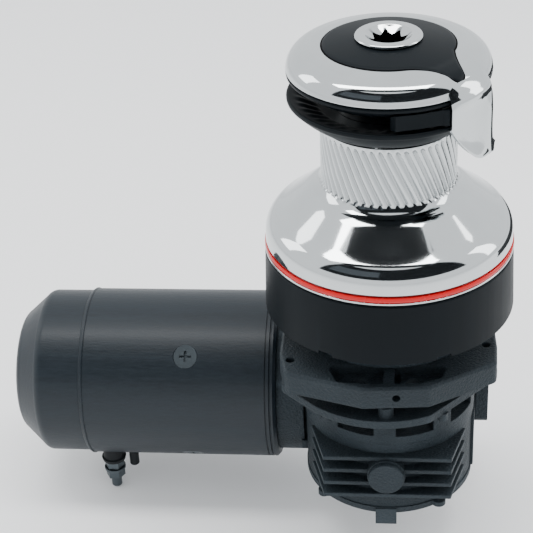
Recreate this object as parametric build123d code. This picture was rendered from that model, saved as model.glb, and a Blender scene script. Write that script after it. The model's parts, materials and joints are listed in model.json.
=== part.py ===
from build123d import *
import math
import os

# Electric two-speed self-tailing winch with its below-deck worm gearbox and motor.
# Millimetres. +Z is up along the drum axis, the origin is on that axis at the deck plane,
# the motor points to -X and the line guide of the self-tailer to -Y and +X.

# ---- driving dimensions ------------------------------------------------------------------
# skirt and trim
SKIRT_FOOT_R = 85.0
SKIRT_TOP_R = 83.5
SKIRT_TOP_Z = 43.0
TRIM_LOW_Z = 44.3
TRIM_RED_LOW_Z = 45.7
TRIM_RED_TOP_Z = 49.3

# drum
DRUM_R = 44.7
DRUM_GROOVE_R = 43.4
FOOT_SPLIT_R = 44.8
DRUM_FOOT_R = 82.9
DRUM_FOOT_Z = 50.5
RIB_LOW_Z = 91.5
RIB_TOP_Z = 133.0
DRUM_TOP_Z = 134.0
RIB_COUNT = 51
RIB_TWIST = 22.3
BORE_R = 37.1
NECK_R = 36.0
NECK_BORE_R = 30.0
NECK_TOP_Z = 162.0

# jaws
JAW_R = 65.5
LOWER_RIM_Z = 154.3
UPPER_RIM_Z = 169.0
JAW_TOP_Z = 170.8
JAW_ROOT_R = 44.0
LOWER_ROOT_Z = 147.0
UPPER_ROOT_Z = 156.2
JAW_TEETH = 40
SPRING_COUNT = 6
SPRING_RING_R = 41.2

# self-tailing arm and its cover
CAP_R = 65.35
CAP_LOW_Z = 171.6
CAP_SHELL = 3.2
LEG_R = 69.4
LEG_FROM = -55.5
LEG_TO = -18.5
LEG_LOW_Z = 125.6
SOCKET_RING_R = 21.56
SOCKET_TOP_Z = 193.0
STAR_TIP_R = 12.6
STAR_ROOT_R = 9.2
SOCKET_DEPTH = 33.0

# stem, shaft and bearings
STEM_R = 28.0
ROLLER_R = 4.5
ROLLER_COUNT = 14
SHAFT_R = 8.0
RUNNING = 0.05

# gear train: module, centre distance and teeth
MODULE = 2.0
PRESSURE_ANGLE = 25.0
ADDENDUM = 0.9
DEDENDUM = 1.15
BACKLASH = 0.25
GEAR_CENTRE = 42.0
RING_TEETH = 60
IDLER_TEETH = 18
FIRST_TEETH = 24
SHAFT_PINION_TEETH = 12
SECOND_TEETH = 30
RING_PLANE_Z = 51.5
SECOND_PLANE_Z = 36.0
GEAR_FACE = 10.0
PIN_R = 6.0

# below-deck gearbox
COLLAR_BOLT_R = 53.0
PLATE_TOP_Z = -20.0
PLATE_LOW_Z = -36.0
TROUGH_Z = -27.0
LIP_TOP_Z = -48.0
LIP_LOW_Z = -54.0
RING_TOP_Z = -77.0
CASE_TOP_Z = -84.0
CASE_FLANGE_Z = -91.5
CASE_LOW_Z = -140.0
COVER_LOW_Z = -145.5
CASE_R = 59.6
FLANGE_R = 60.8
CAVITY_R = 51.0
SINK = 3.8

# worm set
WORM_Y = 55.0
WORM_Z = -107.2
WORM_PITCH_R = 12.0
WORM_STARTS = 2
WHEEL_TEETH = 43
WHEEL_FACE = 16.0
NEAR_BEARING_X = -81.0
FAR_BEARING_X = 50.5

# motor
MOTOR_R = 62.9
MOTOR_WALL = 4.5
MOTOR_SEAM_X = -223.9
MOTOR_FACE_X = -82.0
MOTOR_PLATE_X = -90.0
CAP_END_X = -279.0
POLE_SCREW_X = -148.0
POLE_LEFT_X = -186.0
POLE_RIGHT_X = -106.0
TERMINAL_X = -213.4
TERMINAL_Y = 27.0
BREATHER = (-198.5, 31.0)

LOW = (Align.CENTER, Align.CENTER, Align.MIN)


# ---- helpers -----------------------------------------------------------------------------
def rod(radius, z0, z1, x=0.0, y=0.0):
    """Upright cylinder between two heights."""
    return Pos(x, y, z0) * Cylinder(radius, z1 - z0, align=LOW)


def tube(outer, inner, z0, z1, x=0.0, y=0.0):
    """Upright tube between two heights."""
    return rod(outer, z0, z1, x, y) - rod(inner, z0 - 1, z1 + 1, x, y)


def rod_x(radius, x0, x1, y=WORM_Y, z=WORM_Z):
    """Cylinder along X, on the motor axis unless told otherwise."""
    return Pos(x0, y, z) * Rot(0, 90, 0) * Cylinder(radius, x1 - x0, align=LOW)


def tube_x(outer, inner, x0, x1, y=WORM_Y, z=WORM_Z):
    """Tube along X, on the motor axis unless told otherwise."""
    return rod_x(outer, x0, x1, y, z) - rod_x(inner, x0 - 1, x1 + 1, y, z)


def block(x0, x1, y0, y1, z0, z1):
    """Box between two corners."""
    centre = Pos((x0 + x1) / 2, (y0 + y1) / 2, (z0 + z1) / 2)
    return centre * Box(x1 - x0, y1 - y0, z1 - z0)


def turned(start, *steps):
    """Solid of revolution about Z from an (r, z) outline; a step of two points is an arc."""
    edges = []
    here = start
    for step in steps:
        if isinstance(step[0], tuple):
            edges.append(ThreePointArc(here, step[0], step[1]))
            here = step[1]
        else:
            edges.append(Line(here, step))
            here = step
    edges.append(Line(here, start))
    return revolve(Plane.XZ * make_face(edges), Axis.Z)


def turned_x(start, *steps):
    """Solid of revolution about the motor axis from an (r, x) outline."""
    return Pos(0, WORM_Y, WORM_Z) * Rot(0, 90, 0) * turned(start, *steps)


def around(count, radius, shape, first=0.0):
    """Copies of a shape on a circle about Z, each turned with its place."""
    step = 360.0 / count
    return [Rot(0, 0, first + step * i) * Pos(radius, 0, 0) * shape for i in range(count)]


def around_motor(count, shape, first=0.0):
    """Copies of a shape, drawn above the motor axis, turned about that axis."""
    spin = [first + 360.0 / count * i for i in range(count)]
    return [Pos(0, WORM_Y, WORM_Z) * Rot(a, 0, 0) * shape for a in spin]


def joined(shapes):
    """One shape from a list of touching solids."""
    total = shapes[0]
    for shape in shapes[1:]:
        total = total + shape
    return total


def group(shapes):
    """Separate solids kept together in one node."""
    return Compound(children=list(shapes))


def outline(points, z0, z1):
    """Prism of a closed outline; a point of two pairs is an arc through the first."""
    edges = []
    here = points[0]
    for step in list(points[1:]) + [points[0]]:
        if isinstance(step[0], tuple):
            edges.append(ThreePointArc(here, step[0], step[1]))
            here = step[1]
        else:
            edges.append(Line(here, step))
            here = step
    return Pos(0, 0, z0) * extrude(make_face(edges), z1 - z0)


def hexagon(across_flats, z0, z1):
    """Upright hexagonal prism."""
    flat = RegularPolygon(across_flats / 2, 6, major_radius=False)
    return Pos(0, 0, z0) * extrude(flat, z1 - z0)


def cap_screw(shank_r, length, head_r, head_h):
    """Socket cap screw on Z: head above z=0, shank below, hexagon socket in the head."""
    body = rod(head_r, 0, head_h) + rod(shank_r, -length, 0)
    return body - hexagon(head_r * 1.05, head_h * 0.4, head_h + 1)


def countersunk_screw(shank_r, length, head_r, depth):
    """Countersunk screw on Z with its flat top at z=0 and a cross recess."""
    head = turned((0, 0), (head_r, 0), (shank_r, -depth), (shank_r, -length), (0, -length))
    arm = head_r * 0.5
    cross = block(-arm, arm, -arm * 0.2, arm * 0.2, -depth * 0.5, 1)
    return head - cross - Rot(0, 0, 90) * cross


def ball_bearing(outer, inner, width, balls):
    """Ball bearing on Z: two grooved races and a ring of balls, as separate solids."""
    mid = (outer + inner) / 2
    wall = (outer - inner) * 0.3
    ball_r = (outer - inner) * 0.26
    groove = Pos(0, 0, width / 2) * Torus(mid, ball_r + 0.05)
    outer_race = tube(outer, outer - wall, 0, width) - groove
    inner_race = tube(inner + wall, inner, 0, width) - groove
    ring = [Rot(0, 0, 360 / balls * i) * Pos(mid, 0, width / 2) * Sphere(ball_r)
            for i in range(balls)]
    return [outer_race, inner_race] + ring


# ---- gears -------------------------------------------------------------------------------
def involute(angle):
    return math.tan(angle) - angle


def polar(radius, angle):
    return (radius * math.cos(angle), radius * math.sin(angle))


def gear_face(teeth, addendum, dedendum, backlash):
    """Face of an involute gear with a tooth centred on +X; each flank is an arc."""
    pitch_r = MODULE * teeth / 2
    pressure = math.radians(PRESSURE_ANGLE)
    base_r = pitch_r * math.cos(pressure)
    tip_r = pitch_r + addendum * MODULE
    root_r = pitch_r - dedendum * MODULE
    start_r = max(base_r, root_r)
    half = (math.pi * MODULE / 2 - backlash) / 2 / pitch_r + involute(pressure)

    def flank(radius):
        return half - involute(math.acos(min(1.0, base_r / radius)))

    edges = []
    step = 2 * math.pi / teeth
    mid_r = (start_r + tip_r) / 2
    for i in range(teeth):
        c = i * step
        rise = [polar(start_r, c - flank(start_r)), polar(mid_r, c - flank(mid_r)),
                polar(tip_r, c - flank(tip_r))]
        fall = [polar(tip_r, c + flank(tip_r)), polar(mid_r, c + flank(mid_r)),
                polar(start_r, c + flank(start_r))]
        nxt = polar(start_r, c + step - flank(start_r))
        edges.append(ThreePointArc(*rise))
        edges.append(Line(rise[2], fall[0]))
        edges.append(ThreePointArc(*fall))
        if root_r < base_r:
            low = polar(root_r, c + flank(start_r))
            far = polar(root_r, c + step - flank(start_r))
            edges += [Line(fall[2], low), Line(low, far), Line(far, nxt)]
        else:
            edges.append(Line(fall[2], nxt))
    return make_face(edges)


def spur_gear(teeth, z0, z1, x=0.0, y=0.0):
    """Spur gear with a tooth centred on +X."""
    face = gear_face(teeth, ADDENDUM, DEDENDUM, BACKLASH)
    return Pos(x, y, z0) * extrude(face, z1 - z0)


# ---- drum and everything that turns with it ----------------------------------------------
def drum_shell():
    """Turned body of the drum: bell foot, line surface and neck."""
    return turned(
        (68.0, DRUM_FOOT_Z), (DRUM_FOOT_R - 1.0, DRUM_FOOT_Z),
        ((DRUM_FOOT_R - 0.2, DRUM_FOOT_Z + 0.3), (DRUM_FOOT_R, DRUM_FOOT_Z + 1.0)),
        (DRUM_FOOT_R - 0.3, 57.0), ((80.0, 64.0), (74.2, 69.4)), (52.0, 86.8),
        ((47.2, 90.6), (DRUM_GROOVE_R, RIB_LOW_Z + 2.5)), (DRUM_GROOVE_R, DRUM_TOP_Z),
        (NECK_R, DRUM_TOP_Z), (NECK_R, NECK_TOP_Z), (NECK_BORE_R, NECK_TOP_Z),
        (NECK_BORE_R, 131.0), (BORE_R, 131.0), (BORE_R, 78.0), (56.0, 78.0), (56.0, 62.5),
        (68.0, 62.5))


def make_drum_foot():
    """Bell foot that guides the line up to the barrel, tapped for the internal gear."""
    ring_taps = around(6, 65.2, rod(1.5, 62.0, 69.0), 15)
    return drum_shell() - rod(FOOT_SPLIT_R, 40, 170) - ring_taps


def make_drum():
    """Barrel with slanted ribs and a keyed neck for the jaws."""
    shell = drum_shell() & rod(FOOT_SPLIT_R, 40, 170)
    scallop = []
    step = 2 * math.pi / RIB_COUNT
    for i in range(RIB_COUNT):
        a = i * step
        low = polar(DRUM_GROOVE_R, a - step * 0.5)
        crest = polar(DRUM_R, a)
        high = polar(DRUM_GROOVE_R, a + step * 0.5)
        scallop.append(ThreePointArc(low, crest, high))
    section = make_face(scallop) - Circle(DRUM_GROOVE_R - 1.4)
    band = Solid.extrude_linear_with_rotation(
        section.face(), (0, 0, RIB_LOW_Z - 1), (0, 0, RIB_TOP_Z - RIB_LOW_Z + 1), -RIB_TWIST)
    if abs(band.bounding_box().min.Z - (RIB_LOW_Z - 1)) > 0.5:
        band = Pos(0, 0, RIB_LOW_Z - 1) * band
    envelope = turned(
        (DRUM_GROOVE_R - 2, RIB_LOW_Z - 2), (DRUM_R + 1, RIB_LOW_Z - 2),
        (DRUM_R + 1, RIB_TOP_Z - 2.6), (DRUM_GROOVE_R - 0.4, RIB_TOP_Z),
        (DRUM_GROOVE_R - 2, RIB_TOP_Z))
    keys = around(3, NECK_R + 0.5, block(-1.0, 1.4, -3, 3, 136.0, 155.0))
    tapped = around(6, 33.0, rod(1.8, 150.0, NECK_TOP_Z + 1), 30)
    return joined([shell, band & envelope] + keys) - tapped


def make_ring_gear():
    """Internal gear bolted in the drum's foot."""
    space = Rot(0, 0, 180 / RING_TEETH) * gear_face(RING_TEETH, DEDENDUM, ADDENDUM, -BACKLASH)
    ring = Pos(0, 0, RING_PLANE_Z - 0.5) * extrude(Circle(68.0) - space, 11.5)
    holes = around(6, 65.2, rod(1.5, 50, 64) + rod(2.5, 50, 53.4), 15)
    return ring - holes


def make_drum_screws():
    """Screws of the internal gear, sunk in it, and cap screws of the upper jaw."""
    low = rod(2.4, 51.2, 53.4) + rod(1.5, 53.4, 68.5) - hexagon(2.4, 50, 52.4)
    high = Pos(0, 0, 167.0) * cap_screw(1.8, 16.0, 3.2, 3.2)
    return group(around(6, 65.2, low, 15) + around(6, 33.0, high, 30))


def jaw_grooves(root_z, rim_z, depth):
    """Radial cutters that leave gripping teeth on a jaw's flank."""
    run = JAW_R - JAW_ROOT_R
    slope = math.degrees(math.atan2(rim_z - root_z, run))
    bar = Rot(0, -slope, 0) * Box(run * 1.02, 1.9, 2 * depth)
    cutter = Pos((JAW_R + JAW_ROOT_R) / 2 - 1.5, 0, (root_z + rim_z) / 2) * bar
    return around(JAW_TEETH, 0, cutter)


def make_lower_jaw():
    """Sprung jaw that slides on the drum's neck and turns with it."""
    body = turned(
        (NECK_R + 0.3, 138.5), (45.9, 138.5), (45.9, 137.2), (48.2, 137.2),
        ((56.9, 143.4), (64.4, 150.6)), (JAW_R, 151.8), (JAW_R, 153.6),
        (JAW_R - 0.7, LOWER_RIM_Z), (JAW_ROOT_R, LOWER_ROOT_Z), (NECK_R + 0.3, LOWER_ROOT_Z))
    slots = around(3, NECK_R + 0.9, block(-1.2, 1.4, -3.3, 3.3, 134, 150))
    pockets = around(SPRING_COUNT, SPRING_RING_R, rod(3.5, 137, 143.0), 20)
    return body - slots - pockets - jaw_grooves(LOWER_ROOT_Z, LOWER_RIM_Z, 1.1)


def make_upper_jaw():
    """Fixed jaw screwed on the drum's neck under the arm."""
    body = turned(
        (27.0, NECK_TOP_Z), (NECK_R + 0.3, NECK_TOP_Z), (NECK_R + 0.3, UPPER_ROOT_Z),
        (JAW_ROOT_R, UPPER_ROOT_Z), (JAW_R - 0.8, UPPER_RIM_Z - 0.6),
        (JAW_R - 0.3, UPPER_RIM_Z), (JAW_R - 0.3, JAW_TOP_Z - 0.4), (JAW_R - 0.7, JAW_TOP_Z),
        (27.0, JAW_TOP_Z))
    holes = around(6, 33.0, rod(1.8, 160, 172) + rod(3.4, 167.0, 172), 30)
    return body - holes - jaw_grooves(UPPER_ROOT_Z, UPPER_RIM_Z - 0.6, 1.1)


def make_jaw_springs():
    """Coil springs that lift the lower jaw."""
    coil = Helix(1.56, 7.8, 2.6)
    wire = sweep(Plane(coil @ 0, z_dir=coil % 0) * Circle(0.42), path=coil)
    return group(around(SPRING_COUNT, SPRING_RING_R, Pos(0, 0, 134.6) * wire, 20))


# ---- stem and bearings -------------------------------------------------------------------
def make_center_stem():
    """Fixed stem: flange on the gear columns and the inner track of both roller rows."""
    stem = turned(
        (12.0, 66.0), (52.0, 66.0), (52.0, 72.0), (STEM_R, 72.0), (STEM_R, 126.0),
        (20.0, 126.0), (20.0, 116.0), (14.0, 116.0), (14.0, 80.0), (12.0, 80.0))
    holes = [rod(2.6, 60, 80, sx * 44.0, sy * 8.0) for sx in (-1, 1) for sy in (-1, 1)]
    pins = [rod(PIN_R, 60, 80, 0, sy * GEAR_CENTRE) for sy in (-1, 1)]
    return stem - holes - pins


def make_stem_screws():
    """Cap screws that hold the stem on the base's columns and the arm on its own column."""
    low = Pos(0, 0, 72.0) * cap_screw(2.6, 18.0, 4.4, 4.6)
    high = Pos(0, 0, 177.0) * cap_screw(2.0, 5.0, 3.8, 2.8)
    columns = [Pos(sx * 44.0, sy * 8.0, 0) * low for sx in (-1, 1) for sy in (-1, 1)]
    return group(columns + around(4, 31.0, high, 45))


ROLLER_ROWS = (79.0, 106.0)
ROLLER_RING_R = (STEM_R + BORE_R) / 2


def make_rollers():
    """Two rows of rollers between the stem and the drum."""
    rows = [rod(ROLLER_R, z + 2.2, z + 17.8) for z in ROLLER_ROWS]
    return group([copy for row in rows for copy in around(ROLLER_COUNT, ROLLER_RING_R, row)])


def make_roller_cages():
    """Cage of each roller row, with one pocket for each roller."""
    cages = []
    for z in ROLLER_ROWS:
        pocket = rod(ROLLER_R + 0.1, z + 2.0, z + 18.0)
        ring = tube(ROLLER_RING_R + 3.4, ROLLER_RING_R - 3.4, z, z + 20)
        cages.append(ring - around(ROLLER_COUNT, ROLLER_RING_R, pocket))
    return group(cages)


def make_arm_support():
    """Column on the stem that holds the arm still above the turning jaws."""
    return turned(
        (17.0, 116.0), (20.0, 116.0), (20.0, 126.0), (26.0, 126.0), (26.0, 171.8),
        (38.0, 171.8), (38.0, 176.6), (17.0, 176.6)) - around(4, 31.0, rod(2.0, 170, 178), 45)


# ---- self-tailing arm --------------------------------------------------------------------
def cover_plan(grow):
    """Teardrop plan of the cover: a round body with a tip over the line guide."""
    tip = math.radians(-44.5)
    body_r = 42.0 + grow
    far = polar(62.2 + grow, tip)
    side_a = polar(58.6 + grow, tip - 0.100)
    side_b = polar(58.6 + grow, tip + 0.100)
    join_a = polar(body_r, tip - 0.56)
    join_b = polar(body_r, tip + 0.50)
    edges = [
        ThreePointArc(join_b, polar(body_r, tip + math.pi), join_a),
        ThreePointArc(join_a, polar(48.0 + grow, tip - 0.232), side_a),
        ThreePointArc(side_a, far, side_b),
        ThreePointArc(side_b, polar(48.0 + grow, tip + 0.262), join_b)]
    return make_face(edges)


def make_arm_cover():
    """Black cover inlaid in the arm, under the socket ring."""
    slab = Pos(0, 0, 177.0) * extrude(cover_plan(0), 14)
    crown = turned(
        (0, 177.0), (66.5, 177.0), (64.0, 179.4), ((57.7, 183.6), (46.0, 186.2)),
        ((34.0, 188.6), (22.0, 190.3)), (0, 190.3))
    screw_room = around(4, 31.0, rod(4.4, 176, 180.2), 45)
    return (slab & crown) - rod(15.6, 170, 192) - screw_room


def make_tailing_arm():
    """Fixed arm: domed ring with a seat for the cover and the leg that guides the line."""
    dome = turned(
        (26.6, 176.6), (26.6, 177.0), (40.0, 177.0), (40.0, 186.6), (46.0, 185.8),
        ((57.5, 183.2), (63.4, 179.2)), ((65.0, 176.4), (CAP_R, CAP_LOW_Z)),
        (CAP_R - CAP_SHELL, CAP_LOW_Z), ((61.0, 175.6), (56.0, 178.0)), (48.0, 178.6),
        (42.0, 176.6))
    dome = dome + tube(50.0, 17.2, 176.6, 179.0)
    seat = Pos(0, 0, 177.0) * extrude(cover_plan(0.35), 12)
    floor = Pos(0, 0, 174.4) * extrude(cover_plan(2.6), 2.6)
    inner = tube(62.0, 38.4, 174.4, 177.0)
    low, high = math.radians(LEG_FROM), math.radians(LEG_TO)
    inset = math.radians(1.2)
    leg = outline(
        [polar(60.6, low), polar(LEG_R - 0.7, low + inset),
         (polar(LEG_R, (low + high) / 2), polar(LEG_R - 0.7, high - inset)), polar(60.6, high)],
        LEG_LOW_Z, 181.0)
    shoulder = turned(
        (0, LEG_LOW_Z), (LEG_R + 1, LEG_LOW_Z), (LEG_R + 1, 166.0), (LEG_R, 168.0),
        ((68.2, 173.5), (64.2, 178.8)), (0, 181.0))
    jaw_room = rod(66.3, 110.0, CAP_LOW_Z)
    below = Polyline(
        (-30, 100), (-30, 161.0), (-5.1, 131.4), (11.0, LEG_LOW_Z), (17.5, LEG_LOW_Z),
        (23.5, 131.5), (30, 131.5), (30, 100), close=True)
    trim = Rot(0, 0, (LEG_FROM + LEG_TO) / 2) * Pos(55, 0, 0) * extrude(
        Plane.YZ * make_face(below), 30)
    leg = (leg & shoulder) - jaw_room - trim
    screws = around(4, 31.0, rod(2.1, 170, 190) + rod(4.2, 178.2, 190), 45)
    arm = dome + leg - seat + ((floor & inner) - seat)
    return arm - rod(17.2, 170, 190) - screws


def make_line_peeler():
    """Wedge in the jaws' groove that lifts the line out and hands it to the arm."""
    ring = turned(
        (49.0, 151.6), (64.0, 156.4), (69.0, 156.4), (69.0, 166.6), (64.0, 166.6),
        (49.0, 157.4))
    tip, root = math.radians(-88), math.radians(-50)
    wedge = outline(
        [polar(60.0, tip), polar(65.2, tip + 0.05), polar(65.2, math.radians(-59)),
         polar(67.6, math.radians(-57)), polar(67.6, math.radians(LEG_FROM - 0.3)),
         polar(66.0, math.radians(LEG_FROM - 0.3)), polar(66.0, root), polar(50.0, root)],
        148.0, 170.0)
    return ring & wedge - make_tailing_arm()


# ---- main shaft --------------------------------------------------------------------------
def star_prism(z0, z1):
    """Eight-pointed star of two squares, for a standard winch handle."""
    points = []
    for i in range(16):
        radius = STAR_TIP_R if i % 2 == 0 else STAR_ROOT_R
        points.append(polar(radius, math.radians(22.5 * i + 11.25)))
    return Pos(0, 0, z0) * extrude(make_face(Polyline(*points, close=True)), z1 - z0)


def make_handle_socket():
    """Socket for the winch handle with its polished ring."""
    floor_z = SOCKET_TOP_Z - SOCKET_DEPTH
    body = turned(
        (SHAFT_R, 146.0), (15.0, 146.0), (15.0, 191.0), (21.2, 191.0),
        (SOCKET_RING_R, 191.3), (SOCKET_RING_R, 192.3),
        ((21.3, 192.8), (20.7, SOCKET_TOP_Z)), (15.2, SOCKET_TOP_Z),
        (14.6, SOCKET_TOP_Z - 0.4), (9.4, SOCKET_TOP_Z - 4.6), (3.2, SOCKET_TOP_Z - 4.6),
        (3.2, 156.0), (SHAFT_R, 156.0))
    return body - star_prism(floor_z, SOCKET_TOP_Z + 1)


def make_main_shaft():
    """Vertical shaft with its low-gear pinion and a hub for the pawls."""
    shaft = rod(SHAFT_R, -16.0, 156.0) + spur_gear(SHAFT_PINION_TEETH, SECOND_PLANE_Z, 46.0)
    shaft = shaft + rod(11.0, 48.0, 64.0)
    pockets = [Rot(0, 0, a) * block(8.4, 12.0, -3.0, 2.0, 51.5, 61.5) for a in (0, 180)]
    return shaft - rod(2.5, 136.0, 157.0) - pockets


def make_first_gear():
    """High-gear wheel with ratchet notches for the shaft's pawls."""
    gear = spur_gear(FIRST_TEETH, RING_PLANE_Z, RING_PLANE_Z + GEAR_FACE)
    notches = [Rot(0, 0, 30 * i) * Pos(15.2, 0, 56.5) * Rot(0, 0, 20) * Box(3.0, 3.6, 12)
               for i in range(12)]
    return gear - rod(14.6, 50, 63) - notches


def make_pawls():
    """Two pawls between the shaft's hub and the ratchet notches."""
    pawl = block(8.6, 14.2, -2.6, 1.2, 51.8, 61.2)
    return group([Rot(0, 0, a) * pawl for a in (0, 180)])


def make_second_pinion():
    """Low-gear pinion that turns the internal gear."""
    gear = spur_gear(IDLER_TEETH, RING_PLANE_Z, RING_PLANE_Z + GEAR_FACE, 0, -GEAR_CENTRE)
    hub = rod(11.0, 46.6, RING_PLANE_Z, 0, -GEAR_CENTRE)
    return gear + hub - rod(PIN_R + RUNNING, 40, 70, 0, -GEAR_CENTRE)


# ---- base --------------------------------------------------------------------------------
def make_winch_base():
    """Deck casting: bolt flange, shaft hub, gear-pin bosses and columns for the stem."""
    body = turned((12.0, 0), (78.0, 0), (78.0, 7.0), (20.0, 7.0), (20.0, 28.0), (12.0, 28.0))
    body = body + rod(11.0, 7.0, 50.8, 0, GEAR_CENTRE)
    body = body + rod(11.0, 7.0, 35.4, 0, -GEAR_CENTRE)
    for side in (-1, 1):
        body = body + Pos(side * 44.0, 0, 36.5) * Box(16, 26, 59)
        body = body + block(min(side * 18, side * 37), max(side * 18, side * 37), -4, 4, 6, 22)
    stem_taps = [rod(2.6, 52, 67, sx * 44.0, sy * 8.0) for sx in (-1, 1) for sy in (-1, 1)]
    pin_holes = [rod(PIN_R, 4, 60, 0, sy * GEAR_CENTRE) for sy in (-1, 1)]
    deck_holes = around(6, 70.0, rod(4.25, -1, 8), 30)
    case_taps = around(4, COLLAR_BOLT_R, rod(3.0, -1, 7.1), 30)
    return body - stem_taps - pin_holes - deck_holes - case_taps


def make_base_skirt():
    """Black skirt round the gears, clipped on the base."""
    skirt = turned(
        (78.0, 0), (SKIRT_FOOT_R, 0), (SKIRT_TOP_R, SKIRT_TOP_Z - 1.2),
        ((SKIRT_TOP_R - 0.3, SKIRT_TOP_Z - 0.3), (SKIRT_TOP_R - 1.2, SKIRT_TOP_Z)),
        (76.5, SKIRT_TOP_Z), (76.5, SKIRT_TOP_Z - 3), (79.5, SKIRT_TOP_Z - 6), (80.5, 7.0),
        (78.0, 7.0))
    notch = block(SKIRT_FOOT_R - 3, SKIRT_FOOT_R + 3, -5, 5, -1, 2.2)
    return skirt - [Rot(0, 0, a) * notch for a in (-118, -64, 62, 118)]


def make_trim_lip():
    """Polished lip under the drum, with a groove for the red band."""
    return turned(
        (76.5, SKIRT_TOP_Z), (81.0, SKIRT_TOP_Z), (81.0, TRIM_LOW_Z),
        (SKIRT_TOP_R + 0.1, TRIM_LOW_Z), (SKIRT_TOP_R + 0.1, TRIM_RED_LOW_Z),
        (81.4, TRIM_RED_LOW_Z), (81.4, TRIM_RED_TOP_Z + 0.5), (76.5, TRIM_RED_TOP_Z + 0.5))


def make_trim_ring():
    """Red band in the lip's groove."""
    return turned(
        (81.4, TRIM_RED_LOW_Z), (SKIRT_TOP_R - 0.2, TRIM_RED_LOW_Z),
        ((SKIRT_TOP_R + 0.1, (TRIM_RED_LOW_Z + TRIM_RED_TOP_Z) / 2),
         (SKIRT_TOP_R - 0.2, TRIM_RED_TOP_Z)), (81.4, TRIM_RED_TOP_Z))


# ---- gearbox castings --------------------------------------------------------------------
PLATE_REAR = [(70.9, 30.0), (48.0, 60.0), (-48.0, 60.0), (-72.9, 34.0)]


def make_deck_collar():
    """Spacer through the deck between the base and the adapter plate."""
    ring = tube(60.0, 34.0, PLATE_TOP_Z, 0)
    return ring - around(4, COLLAR_BOLT_R, rod(3.2, -21, 1), 30)


def make_adapter_plate():
    """Eight-sided mounting plate with a trough in front and a neck to the bell housing."""
    front = [(-72.9, -44.4), (-67.7, -67.4), (-15.8, -84.2), (27.8, -80.9), (72.8, -52.0),
             (73.6, -31.4)]
    plate = outline(front + PLATE_REAR, PLATE_LOW_Z, PLATE_TOP_Z)
    plate = fillet(plate.edges().filter_by(Axis.Z), 6.0)
    rim = plate.edges().group_by(Axis.Z)[-1]
    plate = chamfer(rim, 1.6)
    body = plate + tube(46.0, 34.0, LIP_TOP_Z, PLATE_LOW_Z)
    trough = outline([(-40, -58), (-33, -76.5), (-12, -78.5), (22, -76.5), (36, -70), (40, -56)],
                     TROUGH_Z, PLATE_TOP_Z + 1)
    body = body - fillet(trough.edges().filter_by(Axis.Z), 4.0)
    body = body + block(-2.2, 5.0, -76, -58, TROUGH_Z - 1, PLATE_TOP_Z - 2.2)
    cuts = [rod(5.5, -37, -18, -18.5, -68), rod(5.5, -37, -18, 18, -67.5),
            rod(3.0, -30, -18, -65.0, -52.5), rod(3.0, -30, -18, 65.9, -31.0),
            rod(34.0, -50, -18)]
    cross = Pos(6.4, -70.0, -28.4) * Rot(90, 0, 0) * Cylinder(2.6, 26)
    body = body - cuts - cross - around(4, COLLAR_BOLT_R, rod(3.2, -37, -19), 30)
    return body - around(4, 40.0, rod(2.6, -49, -38), 45)


def make_bell_housing():
    """Ventilated bell between the adapter plate and the gear case."""
    lip = outline(
        [(-73.0, -42.0), (-52.0, -62.5), ((-12.0, -81.4), (29.0, -74.0)), (75.0, -23.0),
         (75.0, 26.0), (50.0, 60.0), (-50.0, 60.0), (-73.0, 38.0)], LIP_LOW_Z, LIP_TOP_Z)
    lip = fillet(lip.edges().filter_by(Axis.Z), 5.0)
    wall = tube(FLANGE_R, 50.0, CASE_TOP_Z, LIP_LOW_Z)
    windows = []
    for i in range(9):
        gap = Rot(0, 0, -71.6 + 40 * i) * block(48, 64, -13.5, 13.5, RING_TOP_Z, LIP_LOW_Z)
        windows.append(gap)
    body = lip + (wall - windows)
    bosses = [rod(3.4, -60.0, LIP_LOW_Z, -40.0, -64.0), rod(3.4, -60.0, LIP_LOW_Z, 37.5, -61.5)]
    screw_boss = rod(5.2, LIP_TOP_Z, -40.0, -0.5, -74.0)
    body = joined([body] + bosses + [screw_boss]) - rod(34.0, -60, -40)
    body = body - rod(2.6, -56, -39, -0.5, -74.0)
    return body - around(4, 40.0, rod(2.8, -60, -40), 45)


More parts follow.
